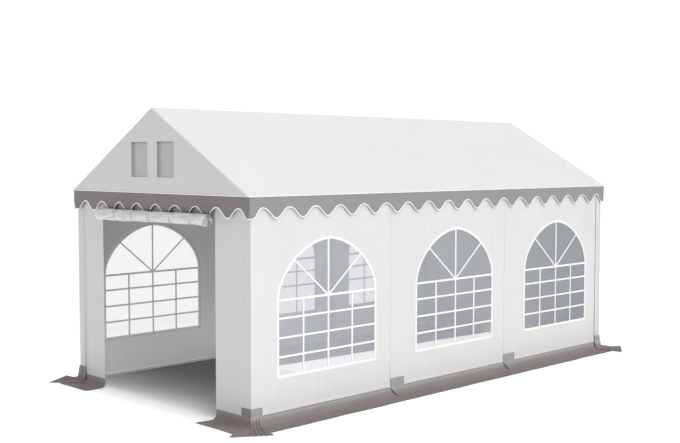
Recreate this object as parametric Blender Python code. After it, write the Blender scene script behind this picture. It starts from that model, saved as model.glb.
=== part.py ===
# Marquee tent, 3 m by 6 m: a steel tube frame under a ridged fabric cover with a scalloped valance,
# window walls along both sides, an open front doorway and a skirt that lies out on the ground.
# Metres, +Z up. The origin is the centre of the plan on the ground, and the doorway faces -Y.

import math

import bmesh
import bpy
from mathutils import Matrix, Vector

# Driving dimensions of the tent
WIDTH = 3.0
LENGTH = 6.0
BAYS = 3
EAVE_HEIGHT = 2.166
RIDGE_HEIGHT = 3.026
SIDE_OVERHANG = 0.018
END_OVERHANG = 0.036

# Sheets and the space left between neighbouring pieces
SHEET = 0.004
CLEAR = 0.0003

# Frame tubes, the sleeves and sockets that join them, and feet
TUBE_RADIUS = 0.019
TUBE_SIDES = 12
FITTING_RADIUS = 0.0235
SLEEVE_REACH = 0.075
SOCKET_LENGTH = 0.075
TIE_DROP = 0.100
FOOT_SIZE = 0.090
FOOT_THICKNESS = 0.005

# Valance scallops
SCALLOPS_ALONG_SIDE = 18
SCALLOP_SEGMENTS = 8
VALANCE_TIP_HEIGHT = 1.950
VALANCE_NOTCH_HEIGHT = 2.050

# Walls, doorway and windows
WALL_FOOT_HEIGHT = 0.1011
WALL_TOP_HEIGHT = 2.158
SEAM_BEFORE_POST = 0.100
DOOR_HALF_WIDTH = 0.980
DOOR_HEAD_HEIGHT = 1.885
ROLL_HALF_LENGTH = 1.040
ROLL_HEIGHT = 0.112
ROLL_DEPTH = 0.120
ROLL_SIDES = 20
WINDOW_HALF_WIDTH = 0.670
WINDOW_SILL_HEIGHT = 0.425
WINDOW_SPRING_HEIGHT = 1.175
WINDOW_ARCH_RISE = 0.570
WINDOW_ARCH_POWER = 1.76
WINDOW_ARCH_SEGMENTS = 20
PANE_LAP = 0.015
PANE_THICKNESS = 0.003

# Gable vents
VENT_INNER_EDGE = 0.090
VENT_OUTER_EDGE = 0.365
VENT_BOTTOM_HEIGHT = 2.320
VENT_TOP_HEIGHT = 2.680
VENT_LAP = 0.025
SCREEN_THICKNESS = 0.003

# Skirt on the ground and its corner flaps
SKIRT_TOP_HEIGHT = WALL_FOOT_HEIGHT - CLEAR
SKIRT_REACH = 0.240
SKIRT_BEND_RADIUS = 0.055
SKIRT_BEND_SEGMENTS = 4
FLAP_HALF_WIDTH = 0.135
FLAP_TOP_HEIGHT = 0.180
FLAP_REACH = 0.335
FLAP_CORNER_REACH = 0.090

# Worked out from the sizes above
COVER_HALF_WIDTH = WIDTH / 2 + SIDE_OVERHANG
COVER_HALF_LENGTH = LENGTH / 2 + END_OVERHANG
ROOF_SLOPE = (RIDGE_HEIGHT - EAVE_HEIGHT) / COVER_HALF_WIDTH
ROOF_COS = 1 / math.hypot(1, ROOF_SLOPE)
ROOF_DROP = SHEET / ROOF_COS
FITTING_FLAT = FITTING_RADIUS * math.cos(math.pi / TUBE_SIDES)
POST_INSET = SHEET + CLEAR + FITTING_FLAT
POST_X = WIDTH / 2 - POST_INSET
POST_Y = LENGTH / 2 - POST_INSET
BAY_PITCH = 2 * POST_Y / BAYS
POST_PLACES = [-POST_Y + BAY_PITCH * index for index in range(BAYS + 1)]
FRAME_RIDGE_HEIGHT = RIDGE_HEIGHT - POST_INSET / ROOF_COS
FRAME_EAVE_HEIGHT = FRAME_RIDGE_HEIGHT - ROOF_SLOPE * POST_X
BUTT = TUBE_RADIUS + CLEAR

# Each side of the tent: its turn about Z, and the distance of its outer face from the centre
SIDES = {
    "front": (0.0, LENGTH / 2),
    "right": (math.pi / 2, WIDTH / 2),
    "rear": (math.pi, LENGTH / 2),
    "left": (-math.pi / 2, WIDTH / 2),
}


# Materials
def material(name, colour, roughness, metallic=0.0, alpha=1.0):
    made = bpy.data.materials.new(name)
    made.use_nodes = True
    shader = made.node_tree.nodes["Principled BSDF"]
    shader.inputs["Base Color"].default_value = (*colour, 1.0)
    shader.inputs["Roughness"].default_value = roughness
    shader.inputs["Metallic"].default_value = metallic
    shader.inputs["Alpha"].default_value = alpha
    return made


def make_materials():
    return {
        "steel": material("galvanised_steel", (0.62, 0.64, 0.66), 0.35, metallic=1.0),
        "white": material("white_coated_fabric", (0.86, 0.86, 0.86), 0.45),
        "grey": material("grey_coated_fabric", (0.30, 0.29, 0.29), 0.50),
        "clear": material("clear_film", (0.80, 0.82, 0.85), 0.10, alpha=0.35),
        "mesh": material("vent_mesh", (0.45, 0.46, 0.46), 0.80),
    }


# Objects and their places
def add_object(name, geometry, surface, parent):
    bmesh.ops.recalc_face_normals(geometry, faces=geometry.faces)
    mesh = bpy.data.meshes.new(name)
    geometry.to_mesh(mesh)
    geometry.free()
    mesh.materials.append(surface)
    made = bpy.data.objects.new(name, mesh)
    bpy.context.scene.collection.objects.link(made)
    made.parent = parent
    return made


def add_empty(name, parent=None):
    made = bpy.data.objects.new(name, None)
    bpy.context.scene.collection.objects.link(made)
    made.parent = parent
    return made


def make_side_empties(tent):
    sides = {}
    for name, (turn, distance) in SIDES.items():
        side = add_empty(name + "_side", tent)
        side.rotation_euler.z = turn
        side.location = Matrix.Rotation(turn, 3, "Z") @ Vector((0, -distance, 0))
        sides[name] = side
    return sides


# A flat sheet: an outline in X and Z, pushed back along Y
def sheet_geometry(outline, front, back):
    geometry = bmesh.new()
    corners = [geometry.verts.new((x, front, z)) for x, z in outline]
    face = geometry.faces.new(corners)
    pushed = bmesh.ops.extrude_face_region(geometry, geom=[face])
    moved = [item for item in pushed["geom"] if isinstance(item, bmesh.types.BMVert)]
    bmesh.ops.translate(geometry, vec=(0, back - front, 0), verts=moved)
    return geometry


# A section in Y and Z, drawn out along X
def drawn_geometry(section, left, right):
    geometry = bmesh.new()
    corners = [geometry.verts.new((left, y, z)) for y, z in section]
    face = geometry.faces.new(corners)
    pushed = bmesh.ops.extrude_face_region(geometry, geom=[face])
    moved = [item for item in pushed["geom"] if isinstance(item, bmesh.types.BMVert)]
    bmesh.ops.translate(geometry, vec=(right - left, 0, 0), verts=moved)
    return geometry


# A round bar from its own origin up its own Z axis
def bar_geometry(length, radius):
    geometry = bmesh.new()
    bmesh.ops.create_cone(geometry, cap_ends=True, segments=TUBE_SIDES, radius1=radius, radius2=radius,
                          depth=length)
    turn = Matrix.Rotation(math.pi / TUBE_SIDES, 4, "Z")
    bmesh.ops.transform(geometry, matrix=Matrix.Translation((0, 0, length / 2)) @ turn, verts=geometry.verts)
    return geometry


def add_bar(name, start, end, radius, steel, parent):
    start = Vector(start)
    run = Vector(end) - start
    made = add_object(name, bar_geometry(run.length, radius), steel, parent)
    made.location = start
    made.rotation_euler = run.to_track_quat("Z", "Y").to_euler()
    return made


# A guide shape that a Boolean adds to a body or takes from it
def combine(body, operation, guide):
    guide.hide_render = True
    guide.display_type = "WIRE"
    boolean = body.modifiers.new(guide.name, "BOOLEAN")
    boolean.operation = operation
    boolean.solver = "EXACT"
    boolean.object = guide


def combine_bar(body, operation, label, start, end, radius):
    guide = add_bar(f"{body.name}_{label}", start, end, radius, body.data.materials[0], body.parent)
    combine(body, operation, guide)


# A sleeve round a beam stops at the end of the tent, and its hole is blind there
def sleeve_ends(place):
    reach = [place - SLEEVE_REACH, place + SLEEVE_REACH]
    hole = [place - 2 * SLEEVE_REACH, place + 2 * SLEEVE_REACH]
    if place == POST_PLACES[0]:
        reach[0] = place - FITTING_FLAT
        hole[0] = place - BUTT
    if place == POST_PLACES[-1]:
        reach[1] = place + FITTING_FLAT
        hole[1] = place + BUTT
    return reach, hole


# A post stands on its own foot plate and ends in a fitting: a sleeve round the eave beam and sockets
# for the post and the rafter. It is made in its side's frame, with the wall along X and the tent at +Y.
def add_post(name, place, steel, side):
    foot = Vector((place, POST_INSET, 0))
    top = foot + Vector((0, 0, FRAME_EAVE_HEIGHT))
    up_slope = Vector((0, ROOF_COS, ROOF_SLOPE * ROOF_COS))
    post = add_bar(name, foot, top, TUBE_RADIUS, steel, side)
    plate = bmesh.new()
    bmesh.ops.create_cube(plate, size=1.0)
    bmesh.ops.scale(plate, vec=(FOOT_SIZE, FOOT_SIZE, FOOT_THICKNESS), verts=plate.verts)
    bmesh.ops.translate(plate, vec=(0, 0, FOOT_THICKNESS / 2), verts=plate.verts)
    guide = add_object(name + "_plate", plate, steel, side)
    guide.location = foot
    combine(post, "UNION", guide)
    (left, right), (hole_left, hole_right) = sleeve_ends(place)
    combine_bar(post, "UNION", "sleeve", (left, top.y, top.z), (right, top.y, top.z), FITTING_RADIUS)
    combine_bar(post, "UNION", "socket", top - Vector((0, 0, SOCKET_LENGTH)), top, FITTING_RADIUS)
    combine_bar(post, "UNION", "rafter_socket", top, top + up_slope * SOCKET_LENGTH, FITTING_RADIUS)
    combine_bar(post, "DIFFERENCE", "beam_hole", (hole_left, top.y, top.z), (hole_right, top.y, top.z),
                TUBE_RADIUS + CLEAR)
    combine_bar(post, "DIFFERENCE", "rafter_hole", top, top + up_slope * 2 * SOCKET_LENGTH,
                TUBE_RADIUS + CLEAR)


# A truss is two rafters with a sleeve round the ridge beam
def add_truss(name, place, steel, tent):
    head = Vector((0, place, FRAME_RIDGE_HEIGHT))
    feet = []
    for x in (-POST_X, POST_X):
        eave = Vector((x, place, FRAME_EAVE_HEIGHT))
        feet.append(eave + (head - eave).normalized() * BUTT)
    truss = add_bar(name, feet[0], head, TUBE_RADIUS, steel, tent)
    combine_bar(truss, "UNION", "right_rafter", feet[1], head, TUBE_RADIUS)
    for label, foot in (("left_socket", feet[0]), ("right_socket", feet[1])):
        combine_bar(truss, "UNION", label, head, head + (foot - head).normalized() * SOCKET_LENGTH,
                    FITTING_RADIUS)
    (front, rear), (hole_front, hole_rear) = sleeve_ends(place)
    combine_bar(truss, "UNION", "sleeve", (0, front, head.z), (0, rear, head.z), FITTING_RADIUS)
    combine_bar(truss, "DIFFERENCE", "ridge_hole", (0, hole_front, head.z), (0, hole_rear, head.z),
                TUBE_RADIUS + CLEAR)


def add_frame(steel, tent, sides):
    end = POST_Y + TUBE_RADIUS
    for side, x, forward in (("left", -POST_X, -1), ("right", POST_X, 1)):
        for number in range(1, BAYS + 2):
            place = POST_PLACES[number - 1] if forward > 0 else POST_PLACES[-number]
            add_post(f"post_{side}_{number}", place, steel, sides[side])
        add_bar(f"eave_beam_{side}", (x, -end, FRAME_EAVE_HEIGHT), (x, end, FRAME_EAVE_HEIGHT), TUBE_RADIUS,
                steel, tent)
    for number, place in enumerate(POST_PLACES, 1):
        add_truss(f"roof_truss_{number}", place, steel, tent)
    add_bar("ridge_beam", (0, -end, FRAME_RIDGE_HEIGHT), (0, end, FRAME_RIDGE_HEIGHT), TUBE_RADIUS, steel,
            tent)
    reach = POST_X - BUTT
    height = FRAME_EAVE_HEIGHT - TIE_DROP
    for end_name, y in (("front", -POST_Y), ("rear", POST_Y)):
        add_bar(f"tie_beam_{end_name}", (-reach, y, height), (reach, y, height), TUBE_RADIUS, steel, tent)


# A hole through a sheet, drawn about the sheet's own origin
def cut(body, geometry, label):
    guide = add_object(f"{body.name}_{label}", geometry, body.data.materials[0], body.parent)
    guide.location = body.location
    combine(body, "DIFFERENCE", guide)


# Roof: two sheets that meet at the ridge
def add_roof(white, sides):
    eave_under = EAVE_HEIGHT - ROOF_DROP
    for name in ("left", "right"):
        ridge_y = WIDTH / 2 - CLEAR / 2
        ridge_top = RIDGE_HEIGHT - ROOF_SLOPE * CLEAR / 2
        section = [
            (-SIDE_OVERHANG, eave_under),
            (-SIDE_OVERHANG, EAVE_HEIGHT),
            (ridge_y, ridge_top),
            (ridge_y, ridge_top - ROOF_DROP),
        ]
        geometry = drawn_geometry(section, -COVER_HALF_LENGTH, COVER_HALF_LENGTH)
        add_object("roof_" + name, geometry, white, sides[name])


# Gables with two vents each, and the screen behind both vents
def add_gables(white, mesh, sides):
    bottom = EAVE_HEIGHT - ROOF_DROP
    top = RIDGE_HEIGHT - ROOF_DROP - CLEAR / ROOF_COS
    reach = (top - bottom) / ROOF_SLOPE
    for name in ("front", "rear"):
        outline = [(-reach, bottom), (reach, bottom), (0, top)]
        face = -END_OVERHANG
        gable = add_object(f"gable_{name}", sheet_geometry(outline, face, face + SHEET), white, sides[name])
        for label, left, right in (("left", -VENT_OUTER_EDGE, -VENT_INNER_EDGE),
                                   ("right", VENT_INNER_EDGE, VENT_OUTER_EDGE)):
            hole = box_outline(left, right, VENT_BOTTOM_HEIGHT, VENT_TOP_HEIGHT)
            cut(gable, sheet_geometry(hole, face - SHEET, face + 2 * SHEET), label + "_vent")
        reach_out = VENT_OUTER_EDGE + VENT_LAP
        screen = box_outline(-reach_out, reach_out, VENT_BOTTOM_HEIGHT - VENT_LAP, VENT_TOP_HEIGHT + VENT_LAP)
        front = face + SHEET + CLEAR
        add_object(f"vent_screen_{name}", sheet_geometry(screen, front, front + SCREEN_THICKNESS), mesh,
                   sides[name])


def box_outline(left, right, bottom, top):
    return [(left, bottom), (right, bottom), (right, top), (left, top)]


# Valance: a flat band with a wavy lower edge, its tips at both ends
def valance_outline(half_length, scallops, trim):
    top = EAVE_HEIGHT - ROOF_DROP - CLEAR
    middle = (VALANCE_TIP_HEIGHT + VALANCE_NOTCH_HEIGHT) / 2
    swing = (VALANCE_NOTCH_HEIGHT - VALANCE_TIP_HEIGHT) / 2
    steps = scallops * SCALLOP_SEGMENTS
    reach = half_length - trim
    outline = [(reach, top), (-reach, top)]
    for step in range(steps + 1):
        x = -reach + 2 * reach * step / steps
        phase = 2 * math.pi * step / SCALLOP_SEGMENTS
        outline.append((x, middle - swing * math.cos(phase)))
    return outline


def add_valances(grey, sides):
    end_scallops = SCALLOPS_ALONG_SIDE // 2
    for name in ("front", "rear"):
        outline = valance_outline(COVER_HALF_WIDTH, end_scallops, 0.0)
        geometry = sheet_geometry(outline, -END_OVERHANG, SHEET - END_OVERHANG)
        add_object(f"valance_{name}", geometry, grey, sides[name])
    for name in ("left", "right"):
        outline = valance_outline(COVER_HALF_LENGTH, SCALLOPS_ALONG_SIDE, SHEET + CLEAR)
        geometry = sheet_geometry(outline, -SIDE_OVERHANG, SHEET - SIDE_OVERHANG)
        add_object(f"valance_{name}", geometry, grey, sides[name])


# An arched window's outline about its own centre line
def window_outline(lap):
    half = WINDOW_HALF_WIDTH + lap
    rise = WINDOW_ARCH_RISE + lap
    outline = [(-half, WINDOW_SILL_HEIGHT - lap), (half, WINDOW_SILL_HEIGHT - lap)]
    for step in range(WINDOW_ARCH_SEGMENTS + 1):
        angle = math.pi * step / WINDOW_ARCH_SEGMENTS
        across = math.cos(angle)
        up = math.sin(angle)
        x = half * math.copysign(abs(across) ** (2 / WINDOW_ARCH_POWER), across)
        z = rise * abs(up) ** (2 / WINDOW_ARCH_POWER)
        outline.append((x, WINDOW_SPRING_HEIGHT + z))
    return outline


# Side walls: one panel a bay, joined just before each post, with its window cut and its pane behind
def add_side_walls(white, clear, sides):
    corner = LENGTH / 2 - SHEET - CLEAR
    seams = [place - SEAM_BEFORE_POST for place in POST_PLACES[1:-1]]
    edges = [-corner] + seams + [corner]
    for name in ("left", "right"):
        for bay in range(BAYS):
            left = edges[bay] + (CLEAR / 2 if bay > 0 else 0)
            right = edges[bay + 1] - (CLEAR / 2 if bay < BAYS - 1 else 0)
            centre = (POST_PLACES[bay] + POST_PLACES[bay + 1]) / 2
            outline = box_outline(left - centre, right - centre, WALL_FOOT_HEIGHT, WALL_TOP_HEIGHT)
            number = bay + 1 if name == "right" else BAYS - bay
            panel_name = f"{name}_wall_panel_{number}"
            panel = add_object(panel_name, sheet_geometry(outline, 0, SHEET), white, sides[name])
            panel.location.x = centre
            cut(panel, sheet_geometry(window_outline(0.0), -SHEET, 2 * SHEET), "window")
            front = SHEET + CLEAR
            pane_geometry = sheet_geometry(window_outline(PANE_LAP), front, front + PANE_THICKNESS)
            pane = add_object(f"{name}_window_pane_{number}", pane_geometry, clear, sides[name])
            pane.location.x = centre


# End walls: the front in two strips and a header round the doorway, the rear in one sheet
def add_end_walls(white, sides):
    half = WIDTH / 2
    jamb = DOOR_HALF_WIDTH + CLEAR
    pieces = {
        "front_wall_left": ("front", box_outline(-half, -jamb, WALL_FOOT_HEIGHT, WALL_TOP_HEIGHT)),
        "front_wall_right": ("front", box_outline(jamb, half, WALL_FOOT_HEIGHT, WALL_TOP_HEIGHT)),
        "front_header": ("front", box_outline(-DOOR_HALF_WIDTH, DOOR_HALF_WIDTH, DOOR_HEAD_HEIGHT,
                                              WALL_TOP_HEIGHT)),
        "rear_wall": ("rear", box_outline(-half, half, WALL_FOOT_HEIGHT, WALL_TOP_HEIGHT)),
    }
    for name, (side, outline) in pieces.items():
        add_object(name, sheet_geometry(outline, 0, SHEET), white, sides[side])


# The front door, rolled up under the valance against the header
def add_door_roll(white, sides):
    top = VALANCE_TIP_HEIGHT - CLEAR
    centre_z = top - ROLL_HEIGHT / 2
    section = []
    for step in range(ROLL_SIDES):
        angle = 2 * math.pi * step / ROLL_SIDES
        section.append((ROLL_DEPTH / 2 * math.cos(angle), ROLL_HEIGHT / 2 * math.sin(angle)))
    roll = add_object("door_roll", drawn_geometry(section, -ROLL_HALF_LENGTH, ROLL_HALF_LENGTH), white,
                      sides["front"])
    roll.location = (0, -CLEAR - ROLL_DEPTH / 2, centre_z)


# Skirt: down from the wall, round a bend and out along the ground
def skirt_profile(offset):
    radius = SKIRT_BEND_RADIUS + offset
    middle = Vector((SKIRT_BEND_RADIUS, SKIRT_BEND_RADIUS + SHEET))
    points = []
    for step in range(SKIRT_BEND_SEGMENTS + 1):
        angle = math.pi + math.pi / 2 * step / SKIRT_BEND_SEGMENTS
        points.append(middle + Vector((radius * math.cos(angle), radius * math.sin(angle))))
    return points


def add_skirts(grey, sides):
    section = [(SHEET, SKIRT_TOP_HEIGHT), (0, SKIRT_TOP_HEIGHT)]
    section += [(-out, up) for out, up in skirt_profile(0.0)]
    section += [(-SKIRT_REACH, SHEET), (-SKIRT_REACH, 0)]
    section += [(-out, up) for out, up in reversed(skirt_profile(SHEET))]
    side_end = LENGTH / 2 - SHEET - CLEAR
    spans = {
        "skirt_left": ("left", -side_end, side_end),
        "skirt_right": ("right", -side_end, side_end),
        "skirt_rear": ("rear", -WIDTH / 2, WIDTH / 2),
        "skirt_front_left": ("front", -WIDTH / 2, -DOOR_HALF_WIDTH),
        "skirt_front_right": ("front", DOOR_HALF_WIDTH, WIDTH / 2),
    }
    for name, (side, left, right) in spans.items():
        add_object(name, drawn_geometry(section, left, right), grey, sides[side])


# Corner flaps: a pocket of fabric over each corner, spread out flat on the skirts' ends.
# Half of it is made beside the front of a corner at the origin, and the other half is its reflection.
def flap_rows():
    rows = [(CLEAR, FLAP_TOP_HEIGHT)]
    rows += [(out, up) for out, up in skirt_profile(-2 * CLEAR)]
    return rows


def flap_geometry():
    geometry = bmesh.new()
    rows = flap_rows()
    half = FLAP_HALF_WIDTH
    slant = (half + FLAP_CORNER_REACH) / FLAP_REACH
    grid = []
    for out, up in rows:
        outer = -half + slant * out
        front = [(outer, -out), ((outer + out) / 2, -out)]
        grid.append([(x, y, up) for x, y in front + [(out, -out)] + mirrored(front)])
    ground = rows[-1][1]
    middle = (FLAP_REACH + FLAP_CORNER_REACH) / 2
    tip = [(FLAP_CORNER_REACH, -FLAP_REACH), ((FLAP_CORNER_REACH + middle) / 2, -(FLAP_REACH + middle) / 2)]
    grid.append([(x, y, ground) for x, y in tip + [(middle, -middle)] + mirrored(tip)])
    placed = [[geometry.verts.new(point) for point in row] for row in grid]
    for above, below in zip(placed, placed[1:]):
        for column in range(len(above) - 1):
            geometry.faces.new([above[column], below[column], below[column + 1], above[column + 1]])
    return geometry


def mirrored(points):
    return [(-y, -x) for x, y in reversed(points)]


def add_corner_flaps(grey, tent):
    corners = {
        "front_right": (1, -1, 0.0),
        "rear_right": (1, 1, math.pi / 2),
        "rear_left": (-1, 1, math.pi),
        "front_left": (-1, -1, -math.pi / 2),
    }
    for name, (across, along, turn) in corners.items():
        flap = add_object("corner_flap_" + name, flap_geometry(), grey, tent)
        flap.location = (across * WIDTH / 2, along * LENGTH / 2, 0)
        flap.rotation_euler.z = turn
        solid = flap.modifiers.new("thickness", "SOLIDIFY")
        solid.thickness = SHEET
        solid.offset = 1.0
        solid.use_even_offset = True


def main():
    for existing in list(bpy.data.objects):
        bpy.data.objects.remove(existing)
    materials = make_materials()
    tent = add_empty("tent")
    sides = make_side_empties(tent)
    add_frame(materials["steel"], tent, sides)
    add_roof(materials["white"], sides)
    add_gables(materials["white"], materials["mesh"], sides)
    add_valances(materials["grey"], sides)
    add_side_walls(materials["white"], materials["clear"], sides)
    add_end_walls(materials["white"], sides)
    add_door_roll(materials["white"], sides)
    add_skirts(materials["grey"], sides)
    add_corner_flaps(materials["grey"], tent)


main()
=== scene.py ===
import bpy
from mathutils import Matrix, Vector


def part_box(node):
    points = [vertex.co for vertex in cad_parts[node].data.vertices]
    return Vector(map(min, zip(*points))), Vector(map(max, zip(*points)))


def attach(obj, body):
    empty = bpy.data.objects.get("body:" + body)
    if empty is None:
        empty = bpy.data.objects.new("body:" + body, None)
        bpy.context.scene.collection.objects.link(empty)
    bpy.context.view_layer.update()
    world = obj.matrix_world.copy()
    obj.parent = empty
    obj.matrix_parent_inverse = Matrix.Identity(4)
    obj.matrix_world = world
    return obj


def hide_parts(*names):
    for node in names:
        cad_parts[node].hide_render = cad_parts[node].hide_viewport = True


bl_info = {
    "name": "Marquee tent",
    "version": (1, 0, 0),
    "blender": (4, 5, 0),
    "location": "3D View > Sidebar > Marquee",
    "description": "Dresses the frame of a marquee tent in its cover, walls, windows, skirts and steel",
    "category": "Object",
}

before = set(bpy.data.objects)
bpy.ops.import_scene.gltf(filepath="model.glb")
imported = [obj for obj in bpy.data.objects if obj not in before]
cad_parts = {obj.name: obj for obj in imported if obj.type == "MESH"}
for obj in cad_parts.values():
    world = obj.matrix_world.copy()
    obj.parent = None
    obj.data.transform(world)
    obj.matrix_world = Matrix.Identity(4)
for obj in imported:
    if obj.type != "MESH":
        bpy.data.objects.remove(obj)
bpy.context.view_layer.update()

import math
from itertools import product

import bpy
import numpy as np
from bpy.props import FloatProperty, FloatVectorProperty, IntProperty, PointerProperty
from mathutils import Matrix, Vector
from mathutils.geometry import delaunay_2d_cdt
from mathutils.kdtree import KDTree

# The tent's main sizes, read from the solids of the frame
WALL_LOW, WALL_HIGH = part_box("rear_wall")
ROOF_LOW, ROOF_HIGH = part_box("roof_right")
GABLE_LOW, GABLE_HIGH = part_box("gable_front")
SCREEN_LOW, SCREEN_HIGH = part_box("vent_screen_front")
VALANCE_LOW, VALANCE_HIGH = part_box("valance_right")
PANE_LOW, PANE_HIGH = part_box("right_window_pane_2")
HEADER_LOW, HEADER_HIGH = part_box("front_header")
ROLL_LOW, ROLL_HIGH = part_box("door_roll")
SKIRT_LOW, SKIRT_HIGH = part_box("skirt_right")
FLAP_LOW, FLAP_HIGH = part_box("corner_flap_front_right")

HALF_WIDTH = WALL_HIGH.x
HALF_LENGTH = WALL_HIGH.y
WALL_FOOT = WALL_LOW.z
WALL_TOP = WALL_HIGH.z
EAVE_X = ROOF_HIGH.x
END_Y = ROOF_HIGH.y
RIDGE = ROOF_HIGH.z
SLOPE = (GABLE_HIGH.z - GABLE_LOW.z) / GABLE_HIGH.x
EAVE = RIDGE - SLOPE * EAVE_X
TIP = VALANCE_LOW.z
VALANCE_TOP = VALANCE_HIGH.z
DOOR_HALF = HEADER_HIGH.x
DOOR_HEAD = HEADER_LOW.z
ROLL_HALF = ROLL_HIGH.x - 0.098
SKIRT_REACH = SKIRT_HIGH.x - HALF_WIDTH
FLAP_TOP = FLAP_HIGH.z
POST_PLACES = [(low.y + high.y) / 2 for low, high in (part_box(f"post_right_{n}") for n in (1, 2, 3, 4))]
WINDOW_PLACES = [(low.y + high.y) / 2 for low, high in (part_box(f"right_window_pane_{n}") for n in (1, 2, 3))]
SEAMS = [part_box(f"right_wall_panel_{n}")[1].y for n in (1, 2)]

# A window: the opening in the wall, its arch, and how the film, the border and the bars lie over it
PANE_LAP = 0.015
FILM_LAP = 0.010
WINDOW_HALF = (PANE_HIGH.y - PANE_LOW.y) / 2 - PANE_LAP
SILL = PANE_LOW.z + PANE_LAP
ARCH_TOP = PANE_HIGH.z - PANE_LAP
ARCH_SPRING = 1.175
ARCH_RISE = ARCH_TOP - ARCH_SPRING
ARCH_POWER = 1.76
BORDER_LAP = 0.0135
BAR_SHIFT = 0.022
UPRIGHT_GAP = 0.335
CROSSBARS = (0.624, 0.807, 0.994)
FAN_AHEAD = (0.457, 0.38)
FAN_LENGTH = 0.74

# The vents in a gable
VENT_LAP = 0.025
VENT_INNER = 0.082
VENT_OUTER = SCREEN_HIGH.x - 0.015
VENT_BOTTOM = SCREEN_LOW.z + VENT_LAP
VENT_TOP = SCREEN_HIGH.z - VENT_LAP
VENTS = ((-VENT_OUTER, -VENT_INNER), (VENT_INNER, VENT_OUTER))
NET_LAP = 0.02

# Each side's turn about Z, the distance of its wall from the centre, and half its length
SIDES = {
    "front": (0.0, HALF_LENGTH, HALF_WIDTH),
    "right": (math.pi / 2, HALF_WIDTH, HALF_LENGTH),
    "rear": (math.pi, HALF_LENGTH, HALF_WIDTH),
    "left": (-math.pi / 2, HALF_WIDTH, HALF_LENGTH),
}

# The scallops at the ends: their pitch, and how far left of the middle the first tip hangs. At the sides the
# corner tips have a flat.
END_PITCH = 0.3315
END_FIRST_TIP = 1.4398
END_TIP_FLAT = 0.045
# How much the side valances and skirts stop short of the corners
SIDE_TRIM = 0.0043

# The walls' corners, the zips in them, the rolled door's straps, the step at the upper edge of a hem, and
# half the gap between two panels
CORNER_RADIUS = 0.007
CORNER_TRIM = CORNER_RADIUS * (1 - math.cos(math.pi / 4))
REAR_ZIP = HALF_LENGTH - 0.119
FRONT_ZIP = -HALF_WIDTH + 0.123
ZIP_TOP = 2.05
STRAPS = (-0.60, -0.28, 0.007, 0.386, 0.713)
HEM_EDGE = 0.002
PANEL_GAP = 0.0006

# The skirt's bend, the height at which it ends on the wall, and the patches over it
SKIRT_BEND = 0.055
WALL_STEP = 0.1085
PATCH_WIDTH = 0.21
PATCH_TONGUE = 0.101

# The strips of cloth inside the foot of the walls
LINING_TOP = 0.128
LINING_FOOT = 0.0235
LINING_DEPTH = 0.0052
LINING_TRIM = 0.03

# The bolts in the posts
BOLT_HEIGHTS = (2.080, 2.105)
BOLT_INSET = 0.052

# The stage: how bright its sky looks to the camera, its floor and the ring inside it, and the low light with
# the way that its back faces
SKY_SEEN = 1.05
FLOOR_RADIUS = 45.0
FLOOR_RING = 15.0
FILL_SIZE = (3.0, 0.4)
FILL_PLACE = (0.9, -1.5, 0.34)
FILL_BACK = (1.0, 0.0, 0.10)


def length_value(name, description, default, low, high):
    return FloatProperty(name=name, description=description, default=default, min=low, max=high,
                         unit="LENGTH")


def colour_value(name, description, default):
    return FloatVectorProperty(name=name, description=description, subtype="COLOR", default=default, min=0.0,
                               max=1.0)


def glow_value(name, description, default):
    return FloatProperty(name=name, description=description, default=default, min=0.0, max=2.0)


def angle_value(name, description, degrees):
    return FloatProperty(name=name, description=description, default=math.radians(degrees), subtype="ANGLE")


class MarqueeSizes(bpy.types.PropertyGroup):
    """Sizes of the tent's fabric that its maker would change"""

    scallop: length_value("Scallop depth", "Height of the scallops below their notches", 0.100, 0.02, 0.2)
    scallops: IntProperty(name="Scallops", description="Number of scallops along a side wall", default=18,
                          min=4, max=60)
    welt: length_value("Roof lip", "Height of the roof's lip over the valance", 0.013, 0.004, 0.04)
    piping: length_value("Piping", "Height of the piping along the scallops", 0.0115, 0.002, 0.02)
    sag: length_value("Roof sag", "How far the roof hangs between the trusses", 0.006, 0.0, 0.03)
    belly: length_value("Wall belly", "How far the walls stand out between the posts", 0.004, 0.0, 0.01)
    folds: length_value("Wall folds", "Depth of the upright folds in the walls", 0.0016, 0.0, 0.005)
    border: length_value("Window border", "Width of the border round a window", 0.025, 0.01, 0.06)
    bar: length_value("Window bar", "Width of a window's bars", 0.020, 0.01, 0.06)
    hem: length_value("Wall hem", "Height of the hem at the foot of the walls", 0.014, 0.008, 0.04)
    cloth: length_value("Cloth thickness", "Thickness of the coated cloth", 0.0015, 0.0005, 0.003)
    turns: IntProperty(name="Door turns", description="Turns in the rolled door", default=9, min=4, max=12)
    pleats: length_value("Flap pleats", "Depth of the pleats in the corner flaps", 0.010, 0.0, 0.015)


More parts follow.
